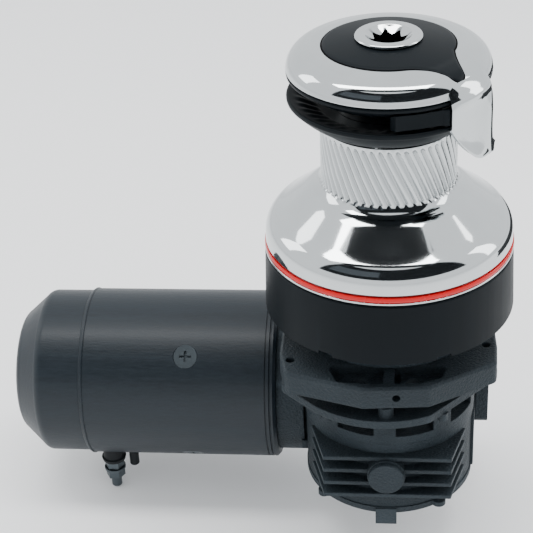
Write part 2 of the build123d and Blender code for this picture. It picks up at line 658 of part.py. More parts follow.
def make_gear_case():
    """Finned case for the worm set with a tunnel for the worm and a face for the motor."""
    body = turned(
        (17.0, CASE_TOP_Z + 6), (24.0, CASE_TOP_Z + 6), (24.0, CASE_TOP_Z),
        (FLANGE_R - 0.4, CASE_TOP_Z), (FLANGE_R - 0.4, CASE_FLANGE_Z), (CASE_R, CASE_FLANGE_Z),
        (CASE_R, CASE_LOW_Z), (17.0, CASE_LOW_Z))
    mount = rod_x(57.0, MOTOR_FACE_X, -62.0)
    mount = mount & block(-90, -60, -10, 120, -170, LIP_LOW_Z - 0.3)
    neck = block(-63, -30, 8, 80, -138, CASE_TOP_Z)
    tunnel = rod_x(22.0, -62.0, 63.0)
    far_end = block(40, 63, 30, 80, -130, CASE_TOP_Z - 1)
    pad = block(-64, -58, 1, 8, -137, -130)
    body = joined([body, mount, neck, tunnel, far_end, pad])
    fin_plan = [(-44, -64), (44, -64), (54, -29), (0, -20), (-54, -29)]
    for z in (-92.5, -103.0, -113.9, -124.6):
        body = body + outline(fin_plan, z - 3.0, z)
    for angle in (-8, 4, 16):
        body = body + Rot(0, 0, angle) * block(56, 61.6, -1.5, 1.5, CASE_LOW_Z, CASE_FLANGE_Z)
    plug_boss = Pos(-0.6, 0, WORM_Z) * Rot(90, 0, 0) * Cylinder(13.2, 66.2, align=LOW)
    body = body + plug_boss
    plug_bore = Pos(-0.6, 0, WORM_Z) * Rot(90, 0, 0) * Cylinder(9.0, 80, align=LOW)
    body = body - rod(CAVITY_R, CASE_LOW_Z - 1, -97.0)
    body = body - rod(21.0, -98, -86.0) - rod(17.0, -98, CASE_TOP_Z + 7)
    body = body - rod_x(15.5, -76.0, 62.0) - rod_x(17.0, MOTOR_FACE_X - 1, -70.0)
    body = body - rod_x(17.0, 50.0, 64.0) - plug_bore
    cap_taps = [rod_x(2.5, 52, 64, WORM_Y + sy * 20.0, WORM_Z + sz * 18.0)
                for sy in (-1, 1) for sz in (-1, 1)]
    cover_taps = around(6, 55.3, rod(2.0, CASE_LOW_Z - 1, -128), 15)
    return body - cap_taps - cover_taps


def make_side_plug():
    """Round plug that closes the front bore."""
    head = Cylinder(12.2, 3.6, align=LOW)
    shank = Pos(0, 0, -12.0) * Cylinder(9.0, 12.5, align=LOW)
    return Pos(-0.6, -66.2, WORM_Z) * Rot(90, 0, 0) * (head + shank)


def make_bottom_cover():
    """Cover with the lower bearing's boss, drain lugs and a locating tab."""
    plate = turned(
        (12.0, COVER_LOW_Z), (59.2, COVER_LOW_Z), (60.2, COVER_LOW_Z + 1), (60.2, CASE_LOW_Z),
        (27.0, CASE_LOW_Z), (27.0, -129.0), (21.0, -129.0), (21.0, -138.0), (12.0, -138.0))
    tab = block(-8.3, 6.5, -60.6, -55.0, -154.5, -141.0)
    lug = rod(5.0, COVER_LOW_Z + 1.5, CASE_LOW_Z, 36.0, -48.5)
    ear = rod(4.2, COVER_LOW_Z + 1.5, CASE_LOW_Z, -45.5, -41.0)
    sink = rod(2.1, -150, -139) + rod(3.8, -150, COVER_LOW_Z + SINK)
    return joined([plate, tab, lug, ear]) - around(6, 55.3, sink, 15)


def make_worm_bearing_cap():
    """Square cap over the worm's far bearing."""
    cap = block(63.0, 72.5, 28, 82, -132, -82.4)
    cap = fillet(cap.edges().filter_by(Axis.X), 7.0)
    cap = cap - rod_x(10.0, 62, 68)
    for sy in (-1, 1):
        for sz in (-1, 1):
            y, z = WORM_Y + sy * 20.0, WORM_Z + sz * 18.0
            cap = cap - rod_x(2.5, 60, 75, y, z) - rod_x(4.4, 72.5 - SINK, 75, y, z)
    return cap


def make_case_screws():
    """Cap screws of the bell housing, the bottom cover and the worm's bearing cap."""
    down = Rot(180, 0, 0) * cap_screw(2.0, 12.5, 3.6, 3.6)
    up = Rot(180, 0, 0) * cap_screw(2.6, 15.0, 4.4, 5.0)
    side = Pos(72.5 - SINK, 0, 0) * Rot(0, 90, 0) * cap_screw(2.5, 15.5, 4.2, 3.6)
    housing = around(4, 40.0, Pos(0, 0, LIP_LOW_Z) * up, 45)
    cover = around(6, 55.3, Pos(0, 0, COVER_LOW_Z + SINK) * down, 15)
    cap = [Pos(0, WORM_Y + sy * 20.0, WORM_Z + sz * 18.0) * side
           for sy in (-1, 1) for sz in (-1, 1)]
    return group(housing + cover + cap)


# ---- worm set ----------------------------------------------------------------------------
def make_worm_wheel():
    """Bronze rim with slanted teeth, a gap of which faces the worm."""
    pitch_r = MODULE * WHEEL_TEETH / 2
    step = 2 * math.pi / WHEEL_TEETH
    lead = math.atan(WORM_STARTS * MODULE / (2 * WORM_PITCH_R))
    slant = WHEEL_FACE / 2 * math.tan(lead) / pitch_r
    first = math.pi / 2 + step / 2
    rows = []
    for turn in (-slant, slant):
        points = []
        for i in range(WHEEL_TEETH):
            a = first + i * step + turn
            points += [polar(pitch_r - 2.4, a - 0.33 * step), polar(pitch_r + 1.6, a - 0.12 * step),
                       polar(pitch_r + 1.6, a + 0.12 * step), polar(pitch_r - 2.4, a + 0.33 * step)]
        rows.append(points)
    low = Pos(0, 0, WORM_Z - WHEEL_FACE / 2) * make_face(Polyline(*rows[0], close=True))
    high = Pos(0, 0, WORM_Z + WHEEL_FACE / 2) * make_face(Polyline(*rows[1], close=True))
    rim = loft([low.face(), high.face()], ruled=True)
    return rim - rod(32.0, WORM_Z - 20, WORM_Z + 20)


def make_wheel_hub():
    """Steel hub of the worm wheel with lightening holes."""
    z0, z1 = WORM_Z - WHEEL_FACE / 2, WORM_Z + WHEEL_FACE / 2
    hub = tube(32.0, 10.0, z0, z1) - around(6, 22.5, rod(4.5, z0 - 1, z1 + 1))
    return hub - block(8.0, 12.6, -2.5, 2.5, z0 - 1, z1 + 1)


def make_output_shaft():
    """Vertical shaft from the worm wheel to the coupling."""
    shaft = turned(
        (0, -141.0), (9.0, -141.0), (10.0, -140.0), (10.0, -17.0), (0, -17.0))
    return shaft - block(8.0, 12, -2.5, 2.5, WORM_Z - 8, WORM_Z + 8)


def make_coupling():
    """Splined sleeve that joins the output shaft to the winch's main shaft."""
    return tube(15.0, SHAFT_R + RUNNING, -16.6, -4.0) + tube(15.0, 10.0, -36.0, -16.6)


def make_oil_seal():
    """Lip seal round the output shaft."""
    return tube(17.0, 10.0 + RUNNING, -85.6, -78.6)


def make_worm_shaft():
    """Worm with two starts on its shaft, with a journal for each bearing."""
    root_r = WORM_PITCH_R - 2.2
    tip_r = WORM_PITCH_R + 1.6
    lead = WORM_STARTS * math.pi * MODULE
    length = 46.0
    core = rod_x(8.0, -100.0, 61.0) + rod_x(root_r, -length / 2 - 4, length / 2 + 4)
    section = make_face(Polyline(
        (root_r - 0.6, -1.65), (tip_r, -0.72), (tip_r, 0.72), (root_r - 0.6, 1.65), close=True))
    threads = []
    for start in range(WORM_STARTS):
        path = Helix(lead, length, root_r)
        thread = sweep(Plane.XZ * section, path=path, is_frenet=True)
        phase = 360.0 * (length / 2) / lead
        place = Pos(-length / 2, WORM_Y, WORM_Z) * Rot(0, 90, 0)
        turn = 90.0 - phase + 180.0 * start
        threads.append(place * Rot(0, 0, turn) * thread)
    worm = core
    for thread in threads:
        worm = worm + thread
    return worm & rod_x(tip_r + 1, -100.0, 61.0)


def make_ball_bearings():
    """Ball bearings of the output shaft, the worm and the motor's far end."""
    upright = ball_bearing(21.0, 10.0 + RUNNING, 9.0, 9)
    lying = ball_bearing(17.0, SHAFT_R + RUNNING, 10.0, 8)
    small = ball_bearing(11.0, 5.0 + RUNNING, 4.0, 7)
    pieces = [Pos(0, 0, z) * s for z in (-95.2, -138.0) for s in upright]
    pieces += [Pos(x, WORM_Y, WORM_Z) * Rot(0, 90, 0) * s
               for x in (NEAR_BEARING_X, FAR_BEARING_X) for s in lying]
    pieces += [Pos(CAP_END_X + 3.6, WORM_Y, WORM_Z) * Rot(0, 90, 0) * s for s in small]
    return group(pieces)


# ---- motor -------------------------------------------------------------------------------
def make_motor_body():
    """Steel tube of the motor with countersinks for the pole screws."""
    body = tube_x(MOTOR_R, MOTOR_R - MOTOR_WALL, MOTOR_SEAM_X, MOTOR_PLATE_X)
    sink = turned((0, MOTOR_R + 1), (9.6, MOTOR_R + 1), (8.75, MOTOR_R - 0.5),
                  (4.0, MOTOR_R - 4.2), (4.0, MOTOR_R - 8), (0, MOTOR_R - 8))
    body = body - around_motor(4, Pos(POLE_SCREW_X, 0, 0) * sink, 45)
    return body - rod(8.0, -175, -150, TERMINAL_X, TERMINAL_Y) - rod(3.7, -175, -150, *BREATHER)


def make_motor_end_plate():
    """Drive-end plate between the motor tube and the gear case, with fine ring lines."""
    low, x = MOTOR_R - 1, MOTOR_PLATE_X
    plate = turned_x(
        (9.0, x), (low, x), (low, x + 1), (MOTOR_R, x + 1), (MOTOR_R, x + 3), (low, x + 3.4),
        (low, x + 4), (MOTOR_R, x + 4.4), (MOTOR_R, x + 5.8), (MOTOR_R - 2.3, MOTOR_FACE_X),
        (9.0, MOTOR_FACE_X))
    spigot = tube_x(MOTOR_R - MOTOR_WALL, 50.0, MOTOR_PLATE_X - 3, MOTOR_PLATE_X)
    return plate + spigot


def make_motor_end_cap():
    """Pressed cap over the brush gear, with a bead at its mouth."""
    end, floor = CAP_END_X, CAP_END_X + 3.4
    return turned_x(
        (0, end), (37.0, end), ((42.5, end + 0.8), (46.5, end + 4.2)),
        (58.6, end + 17.4), ((60.8, end + 20.2), (61.5, end + 23.6)), (61.5, MOTOR_SEAM_X - 3.4),
        ((62.7, MOTOR_SEAM_X - 2.6), (62.9, MOTOR_SEAM_X - 1.2)), (62.9, MOTOR_SEAM_X),
        (58.0, MOTOR_SEAM_X), (58.0, end + 24.0), (43.8, end + 6.8),
        ((41.0, floor + 0.6), (36.5, floor)), (14.0, floor), (14.0, floor + 7.6),
        (11.0, floor + 7.6), (11.0, floor), (0, floor))


def make_pole_shoes():
    """Four pole shoes on the inside of the tube."""
    left, right = POLE_LEFT_X, POLE_RIGHT_X
    ring = tube_x(MOTOR_R - MOTOR_WALL, 41.0, left, right, 0, 0)
    shoe = ring & block(left, right, -14.5, 14.5, 35, 60)
    foot = tube_x(45.0, 41.0, left, right, 0, 0)
    foot = foot & block(left, right, -26, 26, 30, 46)
    hole = Pos(POLE_SCREW_X, 0, 0) * rod(4.0, 44, 62)
    return group(around_motor(4, shoe + foot - hole, 45))


def make_field_coils():
    """Field winding round each pole shoe."""
    outer = block(POLE_LEFT_X - 7, POLE_RIGHT_X + 7, -24, 24, 46.0, 53.0)
    inner = block(POLE_LEFT_X - 1, POLE_RIGHT_X + 1, -15.2, 15.2, 40, 60)
    coil = fillet(outer.edges().filter_by(Axis.Z), 6.0) - inner
    bowl = tube_x(MOTOR_R - MOTOR_WALL - 0.6, 45.6, -200, -90, 0, 0)
    return group(around_motor(4, coil & bowl, 45))


def make_pole_screws():
    """Countersunk cross-recess screws that hold the pole shoes."""
    screw = Pos(POLE_SCREW_X, 0, MOTOR_R - 0.4) * countersunk_screw(4.0, 14.0, 8.7, 3.8)
    return group(around_motor(4, screw, 45))


def make_armature():
    """Slotted armature core with its end windings."""
    core = tube_x(39.8, 8.0, -184.0, -106.0)
    slot = block(-185, -105, -1.4, 1.4, 33.5, 42.0)
    core = core - around_motor(18, slot)
    ends = tube_x(34.0, 12.0, -192.0, -184.0) + tube_x(34.0, 12.0, -106.0, -99.5)
    return core + ends


def make_armature_shaft():
    """Motor shaft with a socket for the worm."""
    return rod_x(8.0, CAP_END_X + 9.0, -100.2) + rod_x(5.0, CAP_END_X + 3.7, CAP_END_X + 9.0)


def make_commutator():
    """Copper bars round the shaft, kept apart by thin gaps."""
    ring = tube_x(18.0, 8.0, -222.0, -200.0) + tube_x(21.0, 8.0, -200.0, -196.0)
    gap = block(-223, -195, -0.4, 0.4, 15.0, 22.0)
    return ring - around_motor(18, gap, 10)


def make_brush_plate():
    """Insulating plate that carries the brush boxes."""
    plate = tube_x(57.6, 21.8, -230.0, -227.0)
    box = block(-227.0, -204.0, -8.4, 8.4, 20.0, 44.0) - block(-225.4, -205.6, -6.2, 6.2, 10, 46)
    boxes = around_motor(4, box, 0)
    return joined([plate] + boxes)


def make_brushes():
    """Carbon brushes on the commutator."""
    saddle = rod_x(18.0 + RUNNING, -226, -200, 0, 0)
    brush = block(-225.2, -205.8, -6.0, 6.0, 15.0, 36.0) - saddle
    return group(around_motor(4, brush, 0))


def make_terminal_insulator():
    """Insulating boss that the main terminal passes through."""
    top = turned(
        (3.8, -150.0), (9.4, -150.0), (9.4, -157.0), (8.0, -157.0), (8.0, -167.5), (9.4, -168.2),
        (8.8, -170.8), (3.8, -170.8))
    curve = rod_x(MOTOR_R - MOTOR_WALL - 0.2, TERMINAL_X - 20, TERMINAL_X + 20)
    inside = (Pos(TERMINAL_X, TERMINAL_Y, 0) * top) & curve
    outside = Pos(TERMINAL_X, TERMINAL_Y, 0) * (top & block(-12, 12, -12, 12, -173, -156.9))
    return inside + outside


def make_terminal_stud():
    """Threaded main terminal."""
    stud = turned((0, -148.0), (3.8, -148.0), (3.8, -187.1), (4.0, -187.1), (4.0, -196.1),
                  (3.2, -197.0), (0, -197.0))
    return Pos(TERMINAL_X, TERMINAL_Y, 0) * stud


def make_terminal_nuts():
    """Two hexagon nuts and a plain washer on the main terminal."""
    first = hexagon(13.0, -177.6, -171.0) - rod(3.8, -190, -170)
    washer = tube(8.2, 3.8, -180.2, -178.0)
    second = hexagon(13.0, -186.8, -180.4) - rod(3.8, -190, -170)
    return Pos(TERMINAL_X, TERMINAL_Y, 0) * group([first, washer, second])


def make_breather():
    """Short drain and breather nipple beside the terminal."""
    peg = turned((0, -159.0), (3.7, -159.0), (3.7, -178.0), ((2.6, -179.1), (0, -179.4)))
    return Pos(*BREATHER, 0) * (peg - rod(1.5, -180.5, -158))


# ---- small and grouped pieces ------------------------------------------------------------
def make_shaft_bushes():
    """Bushes for the main shaft in the base and for the socket in the arm's column."""
    return group([tube(17.0, 15.0 + RUNNING, 150.0, 162.0),
                  tube(12.0, SHAFT_R + RUNNING, 4.0, 27.0)])


def make_idler_gear():
    """High-gear idler between the first-speed gear and the internal gear."""
    gear = spur_gear(IDLER_TEETH, RING_PLANE_Z, RING_PLANE_Z + GEAR_FACE, 0, GEAR_CENTRE)
    return gear - rod(PIN_R + RUNNING, 40, 70, 0, GEAR_CENTRE)


def make_second_gear():
    """Low-gear wheel driven by the shaft's pinion."""
    gear = spur_gear(SECOND_TEETH, SECOND_PLANE_Z, SECOND_PLANE_Z + GEAR_FACE, 0, -GEAR_CENTRE)
    return gear - rod(PIN_R + RUNNING, 30, 50, 0, -GEAR_CENTRE)


def make_gear_pins():
    """Pins of the idler and the low-gear pair, each with a thrust collar."""
    return group([rod(PIN_R, 4.0, 71.5, 0, sy * GEAR_CENTRE)
                  + rod(9.0, 62.0, 65.8, 0, sy * GEAR_CENTRE) for sy in (-1, 1)])


def make_socket_screw():
    """Screw that holds the handle socket down on the shaft."""
    return rod(5.6, 160.2, 165.0) + rod(2.5, 137.0, 160.2) - hexagon(5.0, 162.0, 166)


def make_collar_bolts():
    """Bolts through the adapter plate and the collar into the base."""
    screw = Rot(180, 0, 0) * cap_screw(3.0, 42.0, 5.0, 6.0)
    return group(around(4, COLLAR_BOLT_R, Pos(0, 0, PLATE_LOW_Z) * screw, 30))


NODES = {
    "drum": make_drum,
    "drum_foot": make_drum_foot,
    "ring_gear": make_ring_gear,
    "drum_screws": make_drum_screws,
    "upper_jaw": make_upper_jaw,
    "lower_jaw": make_lower_jaw,
    "jaw_springs": make_jaw_springs,
    "rollers": make_rollers,
    "roller_cages": make_roller_cages,
    "center_stem": make_center_stem,
    "stem_screws": make_stem_screws,
    "arm_support": make_arm_support,
    "tailing_arm": make_tailing_arm,
    "arm_cover": make_arm_cover,
    "line_peeler": make_line_peeler,
    "handle_socket": make_handle_socket,
    "socket_screw": make_socket_screw,
    "main_shaft": make_main_shaft,
    "shaft_bushes": make_shaft_bushes,
    "first_speed_gear": make_first_gear,
    "pawls": make_pawls,
    "idler_gear": make_idler_gear,
    "second_speed_gear": make_second_gear,
    "second_speed_pinion": make_second_pinion,
    "gear_pins": make_gear_pins,
    "winch_base": make_winch_base,
    "base_skirt": make_base_skirt,
    "trim_lip": make_trim_lip,
    "trim_ring": make_trim_ring,
    "deck_collar": make_deck_collar,
    "collar_bolts": make_collar_bolts,
    "adapter_plate": make_adapter_plate,
    "bell_housing": make_bell_housing,
    "gear_case": make_gear_case,
    "side_plug": make_side_plug,
    "bottom_cover": make_bottom_cover,
    "worm_bearing_cap": make_worm_bearing_cap,
    "case_screws": make_case_screws,
    "worm_wheel": make_worm_wheel,
    "wheel_hub": make_wheel_hub,
    "output_shaft": make_output_shaft,
    "shaft_coupling": make_coupling,
    "oil_seal": make_oil_seal,
    "worm_shaft": make_worm_shaft,
    "ball_bearings": make_ball_bearings,
    "motor_body": make_motor_body,
    "motor_end_plate": make_motor_end_plate,
    "motor_end_cap": make_motor_end_cap,
    "pole_shoes": make_pole_shoes,
    "field_coils": make_field_coils,
    "pole_screws": make_pole_screws,
    "armature": make_armature,
    "armature_shaft": make_armature_shaft,
    "commutator": make_commutator,
    "brush_plate": make_brush_plate,
    "brushes": make_brushes,
    "terminal_insulator": make_terminal_insulator,
    "terminal_stud": make_terminal_stud,
    "terminal_nuts": make_terminal_nuts,
    "breather": make_breather,
}

for name, maker in NODES.items():
    export_step(maker(), f"parts/{name}.step")
    print(name, flush=True)
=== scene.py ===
"""Electric self-tailing winch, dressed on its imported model.

Lengths are metres. +Z is the drum axis, the deck plane is z = 0 and the motor lies along -X.
Each sub-assembly is a class whose fields are its sizes; a finish is a frozen dataclass that
builds one procedural material; `main` builds everything in order.
"""

import json
import logging
import math
from dataclasses import dataclass
from enum import Enum
from typing import Any, Callable, Sequence, Union

import bmesh
import bpy
from mathutils import Matrix, Vector

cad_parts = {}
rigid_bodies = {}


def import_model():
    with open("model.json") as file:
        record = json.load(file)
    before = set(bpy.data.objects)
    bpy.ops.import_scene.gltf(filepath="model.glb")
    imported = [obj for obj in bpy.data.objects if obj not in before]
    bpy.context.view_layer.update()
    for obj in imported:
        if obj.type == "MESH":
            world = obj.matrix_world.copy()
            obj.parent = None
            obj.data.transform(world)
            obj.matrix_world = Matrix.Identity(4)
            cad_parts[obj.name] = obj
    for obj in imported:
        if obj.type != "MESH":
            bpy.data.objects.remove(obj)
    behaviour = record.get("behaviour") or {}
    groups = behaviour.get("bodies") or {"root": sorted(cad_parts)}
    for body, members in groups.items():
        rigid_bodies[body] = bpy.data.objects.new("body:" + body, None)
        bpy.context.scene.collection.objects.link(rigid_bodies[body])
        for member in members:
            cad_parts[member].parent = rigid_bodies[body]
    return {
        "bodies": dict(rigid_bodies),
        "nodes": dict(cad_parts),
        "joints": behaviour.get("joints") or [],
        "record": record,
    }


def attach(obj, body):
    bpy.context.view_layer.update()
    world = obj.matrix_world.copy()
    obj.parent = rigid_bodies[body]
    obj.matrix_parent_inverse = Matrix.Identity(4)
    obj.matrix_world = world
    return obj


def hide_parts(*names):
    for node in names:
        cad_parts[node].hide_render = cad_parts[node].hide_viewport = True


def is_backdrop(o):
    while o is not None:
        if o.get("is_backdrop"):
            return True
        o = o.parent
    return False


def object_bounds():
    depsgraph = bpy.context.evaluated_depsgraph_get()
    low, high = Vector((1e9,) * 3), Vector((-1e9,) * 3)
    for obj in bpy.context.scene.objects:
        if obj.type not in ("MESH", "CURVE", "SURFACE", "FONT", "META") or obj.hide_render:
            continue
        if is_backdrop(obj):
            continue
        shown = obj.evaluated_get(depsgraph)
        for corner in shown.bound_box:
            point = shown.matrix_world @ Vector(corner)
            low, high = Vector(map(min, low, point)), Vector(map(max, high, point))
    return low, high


LOG = logging.getLogger("winch")
MM = 0.001
TURN = 2.0 * math.pi

Colour = tuple[float, float, float]
Place = tuple[float, float]
Tone = Union[Colour, bpy.types.NodeSocket]
FLAT_LIMIT = 0.6  # degrees between faces that count as one flat
BEVEL_FROM = 38.0  # degrees from which an edge is broken


class Body(Enum):
    """Moving bodies that new pieces ride on."""

    FIXED = "root"
    DRUM = "drum_body"
    LOWER_JAW = "lower_jaw_body"
    MAIN_SHAFT = "main_shaft_body"


# ---- shader graphs -------------------------------------------------------------------------
class Signal:
    """Output socket that can be used in arithmetic; every operation adds a Math node."""

    def __init__(self, graph: "Graph", socket: bpy.types.NodeSocket) -> None:
        """Keeps the socket and the graph that it belongs to."""
        self.graph = graph
        self.socket = socket

    def maths(self, operation: str, first: Any, second: Any = 0.0) -> "Signal":
        """Adds one Math node.

        Args:
            operation: The node's operation, such as MULTIPLY.
            first: Number or signal for its first input.
            second: Number or signal for its second input.

        Returns:
            The node's result.
        """
        node = self.graph.node("ShaderNodeMath", {"operation": operation}, {0: first, 1: second})
        return Signal(self.graph, node.outputs[0])

    def __add__(self, other: Any) -> "Signal":
        """Sum with a number or a signal."""
        return self.maths("ADD", self, other)

    __radd__ = __add__

    def __sub__(self, other: Any) -> "Signal":
        """Difference, self first."""
        return self.maths("SUBTRACT", self, other)

    def __rsub__(self, other: Any) -> "Signal":
        """Difference, the other value first."""
        return self.maths("SUBTRACT", other, self)

    def __mul__(self, other: Any) -> "Signal":
        """Product with a number or a signal."""
        return self.maths("MULTIPLY", self, other)

    __rmul__ = __mul__

    def limited(self, low: float, high: float) -> "Signal":
        """The signal held between two numbers."""
        return self.maths("MINIMUM", self.maths("MAXIMUM", self, low), high)


class Graph:
    """Node tree of one new material."""

    def __init__(self, name: str) -> None:
        """Starts a material with an empty tree."""
        self.material = bpy.data.materials.new(name)
        self.material.use_nodes = True
        self.tree = self.material.node_tree
        self.tree.nodes.clear()

    def node(self, kind: str, settings: dict[str, Any], inputs: dict[Any, Any]) -> bpy.types.Node:
        """Adds a node.

        Args:
            kind: Node type.
            settings: Properties set first; "stops" holds a ramp's places and colours.
            inputs: Values, sockets or signals for its inputs, by name or number.

        Returns:
            The new node.
        """
        node = self.tree.nodes.new(kind)
        for name, value in settings.items():
            if name == "stops":
                for index, (place, colour) in enumerate(value):
                    stops = node.color_ramp.elements
                    stop = stops[index] if index < len(stops) else stops.new(place)
                    stop.position = place
                    stop.color = (*colour, 1.0)
            else:
                setattr(node, name, value)
        for name, value in inputs.items():
            if isinstance(value, Signal):
                self.tree.links.new(value.socket, node.inputs[name])
            elif isinstance(value, bpy.types.NodeSocket):
                self.tree.links.new(value, node.inputs[name])
            else:
                node.inputs[name].default_value = value
        return node

    def places(self, scale: tuple[float, float, float] = (1.0, 1.0, 1.0)) -> bpy.types.NodeSocket:
        """Object coordinates, stretched by a Mapping node."""
        source = self.node("ShaderNodeTexCoord", {}, {})
        inputs = {"Vector": source.outputs["Object"], "Scale": scale}
        return self.node("ShaderNodeMapping", {}, inputs).outputs[0]

    def noise(self, where: bpy.types.NodeSocket, scale: float, detail: float = 3.0) -> Signal:
        """Fractal noise from 0 to 1."""
        inputs = {"Vector": where, "Scale": scale, "Detail": detail, "Roughness": 0.55}
        return Signal(self, self.node("ShaderNodeTexNoise", {}, inputs).outputs[0])

    def cells(self, where: bpy.types.NodeSocket, scale: float) -> Signal:
        """Distance to the nearest of scattered points."""
        node = self.node("ShaderNodeTexVoronoi", {}, {"Vector": where, "Scale": scale})
        return Signal(self, node.outputs[0])

    def edges(self) -> Signal:
        """How convex the surface is: 0.5 on a flat, more on an outer edge."""
        return Signal(self, self.node("ShaderNodeNewGeometry", {}, {}).outputs["Pointiness"])

    def mixed(self, share: Signal, first: Tone, second: Colour) -> bpy.types.NodeSocket:
        """Colour between two colours, of which the first may be a link."""
        start = first if isinstance(first, bpy.types.NodeSocket) else (*first, 1.0)
        inputs = {0: share, 6: start, 7: (*second, 1.0)}
        return self.node("ShaderNodeMix", {"data_type": "RGBA"}, inputs).outputs[2]

    def relief(
            self, height: Signal, strength: float, depth: float,
            rounding: float) -> bpy.types.NodeSocket:
        """Bumped normal over edges that are rounded in the shading.

        Args:
            height: Relief from 0 to 1.
            strength: How much of it shows.
            depth: Its depth in metres.
            rounding: Radius of the rounded edges in metres; 0 leaves them sharp.

        Returns:
            A normal.
        """
        inputs = {"Height": height, "Strength": strength, "Distance": depth}
        if rounding > 0:
            soft = self.node("ShaderNodeBevel", {"samples": 4}, {"Radius": rounding})
            inputs["Normal"] = soft.outputs[0]
        return self.node("ShaderNodeBump", {}, inputs).outputs[0]

    def surface(self, inputs: dict[str, Any]) -> bpy.types.Material:
        """Closes the graph with a Principled shader.

        Args:
            inputs: Values or links of the shader's sockets.

        Returns:
            The finished material.
        """
        shader = self.node("ShaderNodeBsdfPrincipled", {}, inputs)
        self.node("ShaderNodeOutputMaterial", {}, {"Surface": shader.outputs[0]})
        return self.material


# ---- finishes ------------------------------------------------------------------------------
@dataclass(frozen=True)
class PolishedChrome:
    """Mirror chrome with faint polishing haze, and painted shade that darkens its concave hollows
    and grooves.
    """

    name: str = "polished_chrome"
    colour: Colour = (0.56, 0.585, 0.59)
    haze: Colour = (0.48, 0.505, 0.515)
    # Dark colour painted into concave places as shade, the pointiness below which it starts, and
    # how fast it comes in.
    recess_shade: Colour = (0.1, 0.112, 0.118)
    recess_shade_below: float = 0.496
    recess_shade_gain: float = 16.0
    roughness: float = 0.04

    def build(self) -> bpy.types.Material:
        """Makes the material."""
        graph = Graph(self.name)
        where = graph.places()
        haze = graph.noise(where, 38.0, 4.0)
        lines = graph.noise(graph.places((300.0, 300.0, 2600.0)), 1.0, 2.0)
        # Painted shade: the base colour goes dark where the surface is concave, in grooves and
        # hollows.
        hollow_shade = ((self.recess_shade_below - graph.edges()) * self.recess_shade_gain).limited(0.0, 1.0)
        plate = graph.mixed((haze - 0.35).limited(0.0, 1.0), self.colour, self.haze)
        return graph.surface({
            "Base Color": graph.mixed(hollow_shade, plate, self.recess_shade),
            "Metallic": 1.0,
            "Roughness": haze * 0.035 + lines * 0.02 + self.roughness,
            "Normal": graph.relief(lines, 0.05, 0.00002, 0.0)})


@dataclass(frozen=True)
class MouldedPlastic:
    """Satin black moulding with a fine spark-eroded grain and paler rubbed edges."""

    name: str = "black_nylon"
    colour: Colour = (0.0018, 0.0032, 0.0044)
    rubbed: Colour = (0.0055, 0.0085, 0.011)
    roughness: float = 0.34
    grain: float = 2600.0
    shine: float = 0.09
    rounding: float = 0.0005
    rub_above: float = 0.52
    rub_gain: float = 6.0

    def build(self) -> bpy.types.Material:
        """Makes the material."""
        graph = Graph(self.name)
        where = graph.places()
        grain = graph.noise(where, self.grain, 2.0)
        cloud = graph.noise(where, 24.0, 4.0)
        rub = ((graph.edges() - self.rub_above) * self.rub_gain).limited(0.0, 1.0) * cloud
        tone = (cloud * 0.55 + grain * 0.25 + rub).limited(0.0, 1.0)
        return graph.surface({
            "Base Color": graph.mixed(tone, self.colour, self.rubbed),
            "Roughness": (cloud * 0.16 + grain * 0.08 + self.roughness).limited(0.0, 1.0),
            "Specular IOR Level": self.shine,
            "Normal": graph.relief(grain, 0.22, 0.00006, self.rounding)})


@dataclass(frozen=True)
class SandCast:
    """Dark coated casting: sand grain, shallow pits, paler dusty edges."""

    name: str = "cast_black"
    colour: Colour = (0.006, 0.0098, 0.0128)
    pale: Colour = (0.044, 0.06, 0.072)
    roughness: float = 0.5
    grain: float = 800.0
    rounding: float = 0.0014
    wear_above: float = 0.515
    wear_gain: float = 7.0

    def build(self) -> bpy.types.Material:
        """Makes the material."""
        graph = Graph(self.name)
        where = graph.places()
        sand = graph.noise(where, self.grain, 4.0)
        pits = (graph.cells(where, self.grain * 0.6) * 1.6).limited(0.0, 1.0)
        cloud = graph.noise(where, 18.0, 5.0)
        wear = ((graph.edges() - self.wear_above) * self.wear_gain).limited(0.0, 1.0)
        tone = (sand * 0.45 + cloud * 0.4 + wear * 0.6 - 0.2).limited(0.0, 1.0)
        height = sand * 0.7 + pits * 0.3
        return graph.surface({
            "Base Color": graph.mixed(tone, self.colour, self.pale),
            "Metallic": 0.1,
            "Specular IOR Level": 0.2,
            "Roughness": (sand * 0.22 + cloud * 0.12 + self.roughness - 0.12).limited(0.2, 0.95),
            "Normal": graph.relief(height, 1.0, 0.0011, self.rounding)})


@dataclass(frozen=True)
class MotorEnamel:
    """Satin enamel over a drawn tube, with fine lines along the motor."""

    name: str = "motor_black"
    colour: Colour = (0.0028, 0.0056, 0.0084)
    pale: Colour = (0.0145, 0.0235, 0.032)
    roughness: float = 0.38
    rounding: float = 0.0004

    def build(self) -> bpy.types.Material:
        """Makes the material."""
        graph = Graph(self.name)
        drawn = graph.noise(graph.places((130.0, 760.0, 760.0)), 1.0, 3.0)
        streak = graph.noise(graph.places((9.0, 160.0, 160.0)), 1.0, 3.0)
        peel = graph.noise(graph.places(), 700.0, 2.0)
        tone = (drawn * 0.5 + streak * 0.5 - 0.12).limited(0.0, 1.0)
        height = drawn * 0.6 + peel * 0.4
        return graph.surface({
            "Base Color": graph.mixed(tone, self.colour, self.pale),
            "Specular IOR Level": 0.26,
            "Roughness": (drawn * 0.16 + streak * 0.14 + self.roughness - 0.05).limited(0.1, 0.9),
            "Coat Weight": 0.1,
            "Coat Roughness": 0.25,
            "Normal": graph.relief(height, 0.6, 0.0003, self.rounding)})


